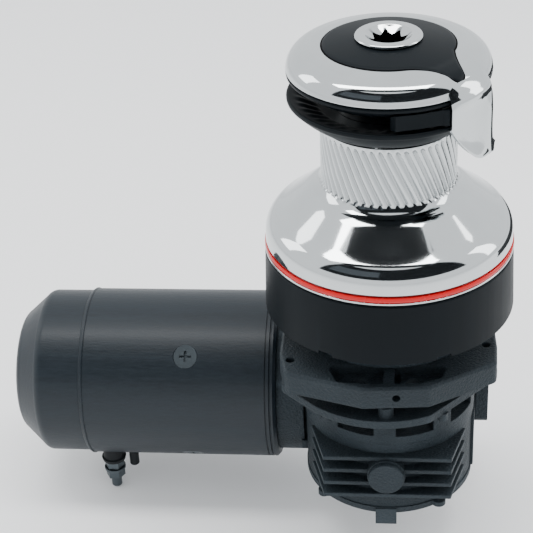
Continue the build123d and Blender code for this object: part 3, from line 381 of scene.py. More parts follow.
@dataclass(frozen=True)
class GlossEnamel:
    """Glossy coloured band under a clear coat."""

    name: str = "red_band"
    colour: Colour = (0.56, 0.001, 0.003)
    deep: Colour = (0.42, 0.0005, 0.002)

    def build(self) -> bpy.types.Material:
        """Makes the material."""
        graph = Graph(self.name)
        cloud = graph.noise(graph.places(), 60.0, 3.0)
        return graph.surface({
            "Base Color": graph.mixed(cloud, self.colour, self.deep),
            "Roughness": cloud * 0.12 + 0.22,
            "Specular IOR Level": 0.3,
            "Coat Weight": 0.15,
            "Coat Roughness": 0.08,
            "Normal": graph.relief(cloud, 0.1, 0.00005, 0.0002)})


@dataclass(frozen=True)
class BareMetal:
    """Machined or cast bare metal with tool lines and a soft stain."""

    name: str
    colour: Colour
    stained: Colour
    roughness: float = 0.28
    metallic: float = 1.0
    lines: tuple[float, float, float] = (180.0, 180.0, 1500.0)
    depth: float = 0.00003
    rounding: float = 0.0002

    def build(self) -> bpy.types.Material:
        """Makes the material."""
        graph = Graph(self.name)
        tool = graph.noise(graph.places(self.lines), 1.0, 2.0)
        stain = graph.noise(graph.places(), 42.0, 4.0)
        return graph.surface({
            "Base Color": graph.mixed((stain - 0.25).limited(0.0, 1.0), self.colour, self.stained),
            "Metallic": self.metallic,
            "Roughness": (tool * 0.14 + stain * 0.12 + self.roughness - 0.08).limited(0.05, 0.95),
            "Normal": graph.relief(tool, 0.3, self.depth, self.rounding)})


Finish = Union[PolishedChrome, MouldedPlastic, SandCast, MotorEnamel, GlossEnamel, BareMetal]

FINISHES: tuple[Finish, ...] = (
    PolishedChrome(),
    MouldedPlastic(),
    SandCast(),
    MotorEnamel(),
    GlossEnamel(),
    BareMetal(
        "cast_aluminium", (0.6, 0.61, 0.62), (0.42, 0.43, 0.44), 0.5, 0.9, (500.0, 500.0, 500.0),
        0.0001),
    BareMetal("steel", (0.56, 0.57, 0.58), (0.4, 0.41, 0.42)),
    BareMetal("fastener_steel", (0.6, 0.6, 0.61), (0.45, 0.45, 0.46), 0.24),
    BareMetal(
        "black_fastener", (0.07, 0.085, 0.095), (0.11, 0.13, 0.142), 0.34, 0.85,
        (900.0, 900.0, 900.0)),
    BareMetal("bronze", (0.62, 0.4, 0.16), (0.42, 0.25, 0.1), 0.3),
    BareMetal("magnet_iron", (0.16, 0.16, 0.17), (0.1, 0.09, 0.09), 0.45, 0.8),
    BareMetal("copper", (0.72, 0.34, 0.2), (0.5, 0.2, 0.1), 0.3),
    MouldedPlastic("carbon", (0.02, 0.02, 0.021), (0.05, 0.05, 0.052), 0.5, 1500.0),
    MouldedPlastic("insulator", (0.006, 0.007, 0.008), (0.02, 0.022, 0.024), 0.3),
    MouldedPlastic(
        "seal_rubber", (0.001, 0.001, 0.0012), (0.003, 0.003, 0.0034), 0.6, 1200.0, 0.05),
)


# ---- mesh work -----------------------------------------------------------------------------
class Outline:
    """Line of straight runs and arcs in a plane, read as (radius, height) or (x, y)."""

    def __init__(self, start: Place) -> None:
        """Starts the line at a point."""
        self.points = [start]

    def to(self, *points: Place) -> "Outline":
        """Adds straight runs."""
        self.points.extend(points)
        return self

    def run(self, end: Place, pieces: int) -> "Outline":
        """Adds one straight run in equal pieces."""
        start = Vector(self.points[-1])
        self.points += [tuple(start.lerp(Vector(end), (i + 1) / pieces)) for i in range(pieces)]
        return self

    def arc(self, through: Place, end: Place, pieces: int = 10) -> "Outline":
        """Adds an arc from the last point.

        Args:
            through: A point on the arc.
            end: Its last point.
            pieces: How many chords it is drawn with.

        Returns:
            The outline.
        """
        a, b, c = Vector(self.points[-1]), Vector(through), Vector(end)
        ab, ac = b - a, c - a
        cross = 2.0 * (ab.x * ac.y - ab.y * ac.x)
        ux = (ac.y * ab.length_squared - ab.y * ac.length_squared) / cross
        uy = (ab.x * ac.length_squared - ac.x * ab.length_squared) / cross
        centre = a + Vector((ux, uy))
        radius = (a - centre).length
        first = math.atan2(a.y - centre.y, a.x - centre.x)
        last = math.atan2(c.y - centre.y, c.x - centre.x)
        sweep = (last - first) % TURN if cross > 0 else -((first - last) % TURN)
        for i in range(1, pieces + 1):
            turn = first + sweep * i / pieces
            self.points.append((
                centre.x + radius * math.cos(turn), centre.y + radius * math.sin(turn)))
        return self

    def scaled(self, factor: float) -> "Outline":
        """The same line in another unit."""
        made = Outline((0.0, 0.0))
        made.points = [(x * factor, y * factor) for x, y in self.points]
        return made

    def height(self, radius: float) -> float:
        """Height of the line above a radius, for a line that runs outwards or inwards only."""
        ordered = sorted(self.points)
        for (r0, z0), (r1, z1) in zip(ordered, ordered[1:]):
            if r0 <= radius <= r1 and r1 > r0:
                return z0 + (z1 - z0) * (radius - r0) / (r1 - r0)
        return ordered[0][1] if radius < ordered[0][0] else ordered[-1][1]


def polar(radius: float, degrees: float) -> Place:
    """Point at a radius and an angle."""
    return radius * math.cos(math.radians(degrees)), radius * math.sin(math.radians(degrees))


def turned(outline: Outline, segments: int, closed: bool = True) -> bmesh.types.BMesh:
    """Spins an outline about Z.

    Args:
        outline: Line of (radius, height) points in metres.
        segments: Steps of the full turn.
        closed: Whether the last point joins the first.

    Returns:
        The turned shape.
    """
    bm = bmesh.new()
    verts = [bm.verts.new((r, 0.0, z)) for r, z in outline.points]
    pairs = list(zip(verts, verts[1:]))
    if closed:
        pairs.append((verts[-1], verts[0]))
    edges = [bm.edges.new(pair) for pair in pairs]
    bmesh.ops.spin(
        bm, geom=verts + edges, cent=(0.0, 0.0, 0.0), axis=(0.0, 0.0, 1.0), dvec=(0.0, 0.0, 0.0),
        angle=TURN, steps=segments, use_merge=True)
    bmesh.ops.remove_doubles(bm, verts=bm.verts[:], dist=1e-7)
    bmesh.ops.recalc_face_normals(bm, faces=bm.faces[:])
    return bm


def reshaped(bm: bmesh.types.BMesh, move: Callable[[Vector], Vector]) -> None:
    """Moves every vertex to where a function puts it."""
    for vert in bm.verts:
        vert.co = move(vert.co)


def added(target: bmesh.types.BMesh, other: bmesh.types.BMesh) -> None:
    """Puts another shape's faces into the target."""
    mesh = bpy.data.meshes.new("part")
    other.to_mesh(mesh)
    target.from_mesh(mesh)
    bpy.data.meshes.remove(mesh)
    other.free()


class Workshop:
    """Holds the finishes and turns bmesh shapes into named pieces of the winch."""

    def __init__(self, frame: dict[str, Any]) -> None:
        """Builds the finishes and reads which finish each node has."""
        self.frame = frame
        self.materials = {finish.name: finish.build() for finish in FINISHES}
        self.slots = {part["node"]: part["material_slot"] for part in frame["record"]["subparts"]}

    def piece(
            self, name: str, bm: bmesh.types.BMesh, body: Body, slot: str,
            replaces: Sequence[str] = (), crease: float = 32.0) -> bpy.types.Object:
        """Makes a piece.

        Args:
            name: The piece's name.
            bm: Its shape, which is freed.
            body: The body that it rides on.
            slot: The material slot, which names its finish too.
            replaces: Nodes that it stands for.
            crease: Edges sharper than this, in degrees, stay sharp.

        Returns:
            The new object.
        """
        limit = math.radians(crease)
        for edge in bm.edges:
            edge.smooth = edge.calc_face_angle(0.0) < limit
        for face in bm.faces:
            face.smooth = True
        mesh = bpy.data.meshes.new(name)
        bm.to_mesh(mesh)
        bm.free()
        mesh.materials.append(self.materials[slot])
        made = bpy.data.objects.new(name, mesh)
        bpy.context.scene.collection.objects.link(made)
        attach(made, body.value)
        if replaces:
            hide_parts(*replaces)
        LOG.info("%s: %d faces", name, len(mesh.polygons))
        return made

    def softened(self, node: str, name: str, width: float, segments: int = 2) -> bpy.types.Object:
        """Copies a node with its edges broken by a small bevel, and stands the copy for it.

        Args:
            node: The node's name.
            name: The new piece's name.
            width: Width of the broken edges in metres.
            segments: Steps across them.

        Returns:
            The new object.
        """
        bm = bmesh.new()
        bm.from_mesh(self.frame["nodes"][node].data)
        bmesh.ops.remove_doubles(bm, verts=bm.verts[:], dist=2e-6)
        bmesh.ops.dissolve_limit(
            bm, angle_limit=math.radians(FLAT_LIMIT), verts=bm.verts[:], edges=bm.edges[:],
            delimit=set())
        made = self.piece(name, bm, Body.FIXED, self.slots[node], (node,), crease=28.0)
        bevel = made.modifiers.new("broken_edges", "BEVEL")
        bevel.width = width
        bevel.segments = segments
        bevel.limit_method = "ANGLE"
        bevel.angle_limit = math.radians(BEVEL_FROM)
        bevel.use_clamp_overlap = True
        bevel.miter_outer = "MITER_ARC"
        weights = made.modifiers.new("flat_faces", "WEIGHTED_NORMAL")
        weights.keep_sharp = True
        return made

    def dress_nodes(self) -> None:
        """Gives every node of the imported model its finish."""
        for name, node in self.frame["nodes"].items():
            node.data.materials.clear()
            node.data.materials.append(self.materials[self.slots[name]])


# ---- sub-assemblies ------------------------------------------------------------------------
@dataclass
class Drum:
    """Chromed drum: bell foot, barrel with slanted grooves, keyed neck."""

    foot_radius: float = 82.9
    foot_height: float = 50.5
    crest_radius: float = 44.7
    groove_depth: float = 1.3
    groove_share: float = 0.66
    rib_low: float = 93.0
    rib_top: float = 132.0
    rib_count: int = 51
    rib_twist: float = 22.3
    steps_per_rib: int = 12
    rib_rows: int = 40

    def outline(self) -> Outline:
        """Section of the drum in millimetres, with one row of points for each rib row."""
        line = Outline((68.0, self.foot_height)).to((81.9, self.foot_height))
        line.arc((82.7, 50.8), (self.foot_radius, 51.5), 4).to((82.6, 57.0))
        line.arc((80.0, 64.0), (74.2, 69.4), 14)
        line.run((52.0, 86.8), 5)
        line.arc((46.9, 90.1), (self.crest_radius, 92.6), 8)
        line.run((self.crest_radius, self.rib_top + 0.3), self.rib_rows)
        line.to((44.4, 134.0), (36.0, 134.0), (36.0, 162.0), (30.0, 162.0), (30.0, 131.0))
        return line.to((37.1, 131.0), (37.1, 78.0), (56.0, 78.0), (56.0, 62.5), (68.0, 62.5))

    def cut_depth(self, turn: float, height: float) -> float:
        """Depth of the grooves at a place on the barrel, in millimetres.

        Args:
            turn: Angle about the drum in radians.
            height: Height in millimetres.

        Returns:
            The depth, 0 on a rib and beyond the ends of the grooves.
        """
        if not self.rib_low < height < self.rib_top:
            return 0.0
        pitch = TURN / self.rib_count
        climbed = (height - self.rib_low) / (self.rib_top - self.rib_low)
        lean = -math.radians(self.rib_twist) * climbed
        phase = ((turn - lean) / pitch) % 1.0 - 0.5
        half = self.groove_share / 2.0
        end_length = half * pitch * self.crest_radius
        for room in (self.rib_top - height, height - self.rib_low):
            if room < end_length:
                half *= math.sqrt(max(0.0, 1.0 - (1.0 - room / end_length) ** 2))
        if abs(phase) >= half:
            return 0.0
        return self.groove_depth * (1.0 - (phase / half) ** 2) ** 0.7

    def build(self, shop: Workshop) -> None:
        """Makes the drum in one piece."""
        bm = turned(self.outline(), self.rib_count * self.steps_per_rib)
        outer = self.crest_radius + 3.0

        def carved(co: Vector) -> Vector:
            """Sinks the barrel's wall where a groove runs."""
            radius = math.hypot(co.x, co.y)
            if not 40.0 < radius < outer:
                return co * MM
            depth = self.cut_depth(math.atan2(co.y, co.x), co.z)
            if radius > self.crest_radius + 0.01:
                depth *= max(0.0, 1.0 - (radius - self.crest_radius) / 1.5)
            share = (radius - depth) / radius
            return Vector((co.x * share, co.y * share, co.z)) * MM

        reshaped(bm, carved)
        shop.piece("chrome_drum", bm, Body.DRUM, "polished_chrome", ("drum", "drum_foot"), 40.0)


@dataclass
class Jaws:
    """Pair of toothed discs that grip the line."""

    rim_radius: float = 65.5
    teeth: int = 40
    steps_per_tooth: int = 8
    tooth_height: float = 1.2
    grip_from: float = 45.5
    grip_to: float = 60.5
    spring_radius: float = 41.2
    spring_room: float = 3.6
    spring_top: float = 143.0

    def toothed(self, bm: bmesh.types.BMesh, low: Place, high: Place, side: float) -> None:
        """Raises the teeth on a jaw's gripping cone and brings the jaw to metres.

        Args:
            bm: The jaw in millimetres.
            low: Inner (radius, height) of the cone.
            high: Outer (radius, height) of the cone.
            side: 1 for teeth that stand up, -1 for teeth that hang down.
        """
        slope = (high[1] - low[1]) / (high[0] - low[0])

        def ridged(co: Vector) -> Vector:
            """Lifts one vertex of the cone to its tooth."""
            radius = math.hypot(co.x, co.y)
            cone = low[1] + slope * (radius - low[0])
            if abs(co.z - cone) > 0.05 or not self.grip_from < radius < self.grip_to:
                return co * MM
            phase = (math.atan2(co.y, co.x) / TURN * self.teeth + radius * 0.03) % 1.0
            fade = min(1.0, (self.grip_to - radius) / 4.0, (radius - self.grip_from) / 1.5)
            rise = self.tooth_height * (1.0 - abs(2.0 * phase - 1.0)) * fade
            return Vector((co.x, co.y, co.z + side * rise)) * MM

        reshaped(bm, ridged)

    def build(self, shop: Workshop) -> None:
        """Makes the lower and the upper jaw."""
        steps = self.teeth * self.steps_per_tooth
        inner, outer = self.spring_radius - self.spring_room, self.spring_radius + self.spring_room
        lower = Outline((36.3, 138.5)).to((inner, 138.5), (inner, self.spring_top))
        lower.to((outer, self.spring_top), (outer, 138.5), (45.9, 138.5), (45.9, 137.4))
        lower.arc((46.1, 137.2), (46.6, 137.1), 3)
        lower.to((47.6, 137.1)).arc((48.1, 137.1), (48.6, 137.5), 3)
        lower.arc((57.0, 143.6), (64.3, 150.6), 12)
        lower.arc((65.3, 151.6), (self.rim_radius, 152.8), 4).arc((65.2, 153.9), (64.4, 154.2), 4)
        lower.run((44.0, 147.0), 14).to((36.3, 147.0))
        bm = turned(lower, steps)
        self.toothed(bm, (44.0, 147.0), (64.4, 154.2), 1.0)
        shop.piece("sprung_jaw", bm, Body.LOWER_JAW, "black_nylon", ("lower_jaw",))
        upper = Outline((27.0, 162.0)).to((36.3, 162.0), (36.3, 156.2), (44.0, 156.2))
        upper.run((64.2, 168.0), 14).arc((65.0, 168.7), (65.2, 169.5), 4)
        upper.arc((65.1, 170.5), (64.4, 170.8), 4).to((27.0, 170.8))
        bm = turned(upper, steps)
        self.toothed(bm, (44.0, 156.2), (64.2, 168.0), -1.0)
        shop.piece("fixed_jaw", bm, Body.DRUM, "black_nylon", ("upper_jaw",))


@dataclass
class TailingArm:
    """Chromed guide arm with its inlaid teardrop cover."""

    rim_radius: float = 65.35
    rim_height: float = 171.6
    leg_from: float = -55.5
    leg_to: float = -18.5
    leg_radius: float = 69.4
    leg_wall: float = 2.9
    leg_clear: float = 66.4
    leg_waist: float = 4.2
    leg_bend: float = 167.0
    leg_edge: float = 0.6
    bend_share: float = 0.34
    corner_dive: float = 2.2
    clear_below: float = 171.4
    scoop: float = 2.5
    ridge: float = 2.4
    hook: float = 1.7
    tip_angle: float = -44.5
    tip_radius: float = 62.2
    cover_radius: float = 42.0
    cover_proud: float = 0.5
    cover_floor: float = 177.2
    hub_radius: float = 15.6
    # Width of the dark strip painted round the cover as the shadow of its gap.
    gap: float = 1.1

    def crown(self) -> Outline:
        """Section of the dome's outer face, from the cover's middle outwards."""
        line = Outline((20.0, 188.2)).to((40.0, 186.6), (46.0, 185.8))
        line.arc((50.5, 185.3), (54.0, 184.5), 6)
        return line.arc((62.5, 179.8), (self.rim_radius, 173.0), 26)

    def dome(self) -> bmesh.types.BMesh:
        """Turned ring of the arm, in metres."""
        line = Outline((26.6, 176.6)).to((26.6, 184.0), (38.0, 184.0), (38.4, 186.0))
        line.points += [p for p in self.crown().points if p[0] > 39.0]
        line.arc((65.2, 171.8), (64.7, 171.6), 4).to((62.4, 171.6))
        line.arc((61.0, 175.6), (56.0, 178.0), 8)
        line.to((48.0, 178.6), (42.0, 176.6))
        return turned(line.scaled(MM), 160)

    def leg_bottom(self, turn: float) -> float:
        """Height of the leg's lower edge at an angle from its middle, in millimetres."""
        edge = Outline((-18.5, 152.5)).arc((-12.0, 141.0), (-3.0, 129.8), 10)
        edge.arc((4.0, 126.0), (12.0, 125.6), 8).arc((16.5, 126.6), (18.5, 130.5), 6)
        return edge.height(turn)

    def leg(self) -> bmesh.types.BMesh:
        """Leg that wraps the jaws: flush on the dome, dished outside, hooked below."""
        columns, rows = 44, 56
        bm = bmesh.new()
        bmesh.ops.create_grid(bm, x_segments=columns, y_segments=rows, size=0.5)
        middle = (self.leg_from + self.leg_to) / 2.0
        half = (self.leg_to - self.leg_from) / 2.0
        over = Outline((60.0, 181.5)).arc((64.5, 178.2), (67.2, 174.2), 12)
        over.arc((68.9, 171.4), (self.leg_radius, self.leg_bend), 10)
        bend = over.points
        top_share = self.bend_share

        def placed(co: Vector) -> Vector:
            """Puts a grid point on the leg's outer face."""
            across = co.x * 2.0
            down = 0.5 - co.y
            share = max(0.0, down - top_share) / (1.0 - top_share)
            narrow = self.leg_waist * min(1.0, down / top_share) * max(0.0, 1.0 - share ** 5)
            turn = across * half - narrow * max(0.0, across)
            if down < top_share:
                at = down / top_share * (len(bend) - 1)
                index = min(int(at), len(bend) - 2)
                r0, z0 = bend[index]
                r1, z1 = bend[index + 1]
                radius, height = r0 + (r1 - r0) * (at - index), z0 + (z1 - z0) * (at - index)
                dive = abs(across) ** 5 * max(0.0, 1.0 - down / top_share) ** 0.5
                radius -= self.corner_dive * dive
            else:
                height = self.leg_bend + (self.leg_bottom(turn) - self.leg_bend) * share
                ease = math.sin(0.5 * math.pi * min(1.0, share / 0.3))
                dish = max(0.0, 1.0 - ((across + 0.25) / 0.72) ** 2) ** 1.3
                dish *= max(0.0, 1.0 - max(0.0, share - 0.25) ** 4 * 4.0) ** 0.8
                ridge = math.exp(-((across - 0.72) / 0.3) ** 2)
                curl = math.exp(-((share - 0.93) / 0.16) ** 2)
                curl *= min(1.0, max(0.0, (across + 0.75) / 0.9))
                radius = self.leg_radius - self.scoop * dish * ease
                radius += max(self.ridge * ridge * ease, self.hook * curl)
            x, y = polar(radius, middle + turn)
            return Vector((x, y, height)) * MM

        reshaped(bm, placed)
        bmesh.ops.recalc_face_normals(bm, faces=bm.faces[:])
        level = Vector((1.0, 1.0, 0.0))
        outward = sum(f.normal.dot(f.calc_center_median() * level) for f in bm.faces)
        if outward < 0.0:
            bmesh.ops.reverse_faces(bm, faces=bm.faces[:])
        bmesh.ops.solidify(bm, geom=bm.faces[:], thickness=self.leg_wall * MM)

        def cleared(co: Vector) -> Vector:
            """Keeps the inner face clear of the jaws."""
            radius = math.hypot(co.x, co.y)
            if co.z > self.clear_below * MM or radius > self.leg_clear * MM:
                return co
            share = self.leg_clear * MM / radius
            return Vector((co.x, co.y, 0.0)) * share + Vector((0.0, 0.0, co.z))

        reshaped(bm, cleared)
        rim = [e for e in bm.edges if e.calc_face_angle(0.0) > math.radians(60.0)]
        bmesh.ops.bevel(
            bm, geom=rim, offset=self.leg_edge * MM, offset_type="OFFSET", segments=4, profile=0.5,
            affect="EDGES", clamp_overlap=True, material=-1)
        bmesh.ops.recalc_face_normals(bm, faces=bm.faces[:])
        return bm

    def teardrop(self, grow: float) -> Outline:
        """Closed plan of the cover in millimetres."""
        tip, radius = self.tip_angle, self.cover_radius + grow
        start = polar(radius, tip + 28.6)
        line = Outline(start).arc(polar(radius, tip + 180.0), polar(radius, tip - 32.1), 84)
        line.arc(polar(48.0 + grow, tip - 13.3), polar(58.6 + grow, tip - 5.7), 16)
        line.arc(polar(self.tip_radius + grow, tip), polar(58.6 + grow, tip + 5.7), 12)
        line.arc(polar(48.0 + grow, tip + 15.0), start, 16)
        line.points.pop()
        return line

    def strip(
            self, first: Outline, second: Outline, rings: int,
            lift: Callable[[float, float], float]) -> bmesh.types.BMesh:
        """Skin between two closed plans with the same number of points, with an outer wall.

        Args:
            first: Outer plan.
            second: Inner plan.
            rings: Rows between the two plans.
            lift: Height of the skin for a radius and a share from the outer plan, 0 to 1.

        Returns:
            The shape in metres.
        """
        bm = bmesh.new()
        verts = [bm.verts.new((x, y, self.cover_floor)) for x, y in first.points]
        loop = [bm.edges.new((a, b)) for a, b in zip(verts, verts[1:] + verts[:1])]
        plans = [(Vector(o), Vector(i)) for o, i in zip(first.points, second.points)]
        for ring in range(rings + 1):
            grown = bmesh.ops.extrude_edge_only(bm, edges=loop)["geom"]
            loop = [g for g in grown if isinstance(g, bmesh.types.BMEdge)]
            share = ring / rings
            before = [outer.lerp(inner, max(0.0, share - 1.0 / rings)) for outer, inner in plans]
            for vert in (g for g in grown if isinstance(g, bmesh.types.BMVert)):
                start = Vector((vert.co.x, vert.co.y))
                nearest = min(range(len(plans)), key=lambda i: (before[i] - start).length_squared)
                flat = plans[nearest][0].lerp(plans[nearest][1], share)
                vert.co = (flat.x, flat.y, lift(flat.length, share))
        reshaped(bm, lambda co: co * MM)
        bmesh.ops.recalc_face_normals(bm, faces=bm.faces[:])
        return bm

    def cover_height(self, radius: float, share: float) -> float:
        """Height of the cover's face, with a rounded border."""
        face = Outline((14.0, 190.6)).to((22.0, 190.2)).arc((34.0, 188.6), (46.0, 186.3), 12)
        if radius < 46.0:
            height = face.height(radius)
        else:
            height = self.crown().height(radius) + self.cover_proud
        border = max(0.0, 1.0 - share / 0.06)
        return height - 0.45 * border ** 2

    def build(self, shop: Workshop) -> None:
        """Makes the arm, its cover and a dark strip round the cover that is painted shadow of the
        gap at its edge.
        """
        bm = self.dome()
        added(bm, self.leg())
        shop.piece("guide_arm", bm, Body.FIXED, "polished_chrome", ("tailing_arm",), 44.0)
        plan = self.teardrop(0.0)
        hub = Outline((0.0, 0.0))
        hub.points = [tuple(Vector(p).normalized() * self.hub_radius) for p in plan.points]
        cover = self.strip(plan, hub, 26, self.cover_height)
        shop.piece("teardrop_cover", cover, Body.FIXED, "black_nylon", ("arm_cover",), 50.0)
        # Painted shadow: a dark strip in the rubber finish lies on the dome round the cover, where
        # the gap's shade falls.
        crown = self.crown()
        outer = self.teardrop(self.gap)
        gap_shadow_strip = self.strip(outer, plan, 2, lambda radius, share: crown.height(radius) + 0.06)
        shop.piece("cover_gap_shadow", gap_shadow_strip, Body.FIXED, "seal_rubber", (), 50.0)


@dataclass
class HandleSocket:
    """Polished socket ring with the eight-pointed star for the handle."""

    ring_radius: float = 21.56
    top: float = 193.0
    under: float = 191.0
    mouth_radius: float = 14.8
    tip_radius: float = 12.6
    root_radius: float = 9.2
    depth: float = 33.0
    points: int = 8
    steps_per_flank: int = 5

    def star_radius(self, turn: float) -> float:
        """Radius of the star's straight flanks at an angle in radians."""
        sector = math.pi / self.points
        place = (turn - math.radians(11.25)) % (2.0 * sector)
        place = min(place, 2.0 * sector - place)
        tip = Vector((self.tip_radius, 0.0))
        root = Vector(polar(self.root_radius, math.degrees(sector)))
        ray = Vector((math.cos(place), math.sin(place)))
        side = root - tip
        return (tip.x * side.y - tip.y * side.x) / (ray.x * side.y - ray.y * side.x)

    def build(self, shop: Workshop) -> None:
        """Makes the ring and the star well in one piece."""
        steps = 2 * self.points * self.steps_per_flank
        line = Outline((self.mouth_radius, self.top - 0.35))
        line.arc((15.1, self.top - 0.1), (15.7, self.top), 4)
        line.to((19.6, self.top)).arc((21.1, self.top - 0.5), (self.ring_radius, self.top - 1.2), 8)
        line.arc((21.4, self.under + 0.2), (20.9, self.under), 4)
        line.to((15.0, self.under), (15.0, 146.0))
        line.to((8.0, 146.0), (8.0, 156.0), (3.2, 156.0), (3.2, self.top - self.depth))
        line.to((8.9, self.top - self.depth), (8.9, self.top - 4.9))
        line.run((self.mouth_radius, self.top - 0.35), 2)
        line.points.pop()
        bm = turned(line, steps)
        slope = 4.2 / (self.mouth_radius - self.root_radius)

        def starred(co: Vector) -> Vector:
            """Pushes the well's wall out to the star."""
            radius = math.hypot(co.x, co.y)
            if not 8.5 < radius < 9.3:
                if radius < self.mouth_radius - 0.05 and co.z > self.top - 4.5:
                    radius = self.mouth_radius - 0.06
                return co * MM
            turn = math.atan2(co.y, co.x)
            star = self.star_radius(turn)
            height = co.z
            if co.z > self.top - 10.0:
                height = self.top - 0.35 - (self.mouth_radius - star) * slope
            x, y = polar(star, math.degrees(turn))
            return Vector((x, y, height)) * MM

        reshaped(bm, starred)
        shop.piece("socket_ring", bm, Body.MAIN_SHAFT, "polished_chrome", ("handle_socket",), 24.0)


@dataclass
class BaseTrim:
    """Bright lip and red band between the drum and the skirt."""

    outer_radius: float = 83.6
    low: float = 43.0
    red_low: float = 45.7
    red_top: float = 49.3

    def build(self, shop: Workshop) -> None:
        """Makes the lip and the band."""
        top = self.red_top + 0.5
        lip = Outline((76.5, self.low)).to((81.0, self.low), (81.0, 44.3), (83.3, 44.3))
        lip.arc((self.outer_radius, 44.5), (self.outer_radius, 44.9), 3)
        lip.to((self.outer_radius, self.red_low - 0.2))
        lip.arc((83.5, self.red_low - 0.05), (83.2, self.red_low), 3)
        lip.to((81.4, self.red_low), (81.4, top))
        shop.piece("bright_lip", turned(lip.to((76.5, top)).scaled(MM), 180), Body.FIXED,
                   "polished_chrome", ("trim_lip",))
        band = Outline((81.4, self.red_low)).to((83.0, self.red_low))
        band.arc((self.outer_radius, (self.red_low + self.red_top) / 2.0), (83.0, self.red_top), 10)
        shop.piece("red_ring", turned(band.to((81.4, self.red_top)).scaled(MM), 180), Body.FIXED,
                   "red_band", ("trim_ring",))


@dataclass
class MotorTrim:
    """Rolled bead where the end cap meets the motor's tube, and a dark ring in that seam which is
    painted shadow.
    """

    seam: float = -223.9
    axis_y: float = 55.0
    axis_z: float = -107.2
    tube_radius: float = 62.9
    bead_radius: float = 0.95
    groove_width: float = 1.1

    def build(self, shop: Workshop) -> None:
        """Makes the bead and the dark ring of painted shadow."""
        bead = Outline((self.tube_radius - 1.4, 0.1)).to((self.tube_radius - 0.3, 0.1))
        bead.arc((self.tube_radius - 0.3 + self.bead_radius, 0.1 + self.bead_radius),
                 (self.tube_radius - 0.3, 0.1 + 2.0 * self.bead_radius), 8)
        bead.to((self.tube_radius - 1.4, 0.1 + 2.0 * self.bead_radius))
        # Painted shadow: a thin ring in the dark rubber finish set into the seam, where shade
        # falls.
        shadow_ring = Outline((self.tube_radius - 1.6, -self.groove_width)).to(
            (self.tube_radius - 0.75, -self.groove_width), (self.tube_radius - 0.75, 0.1),
            (self.tube_radius - 1.6, 0.1))
        rings = (("seam_bead", bead, "motor_black"), ("seam_shadow_ring", shadow_ring, "seal_rubber"))
        for name, outline, slot in rings:
            bm = turned(outline, 128)
            reshaped(bm, lambda co: Vector((
                self.seam - co.z, self.axis_y + co.x, self.axis_z + co.y)) * MM)
            bmesh.ops.recalc_face_normals(bm, faces=bm.faces[:])
            shop.piece(name, bm, Body.FIXED, slot)


@dataclass
class Castings:
    """Below-deck castings and covers whose edges are broken by a small radius."""

    wide_edge: float = 0.0009
    fine_edge: float = 0.0004

    def build(self, shop: Workshop) -> None:
        """Makes a softened copy of each casting and cover."""
        wide = ("adapter_plate", "bell_housing", "gear_case", "bottom_cover", "worm_bearing_cap")
        for node in wide:
            shop.softened(node, f"{node}_cast", self.wide_edge)
        fine = (
            "side_plug", "line_peeler", "base_skirt", "terminal_nuts", "pole_screws", "case_screws")
        for node in fine:
            shop.softened(node, f"{node}_trimmed", self.fine_edge)


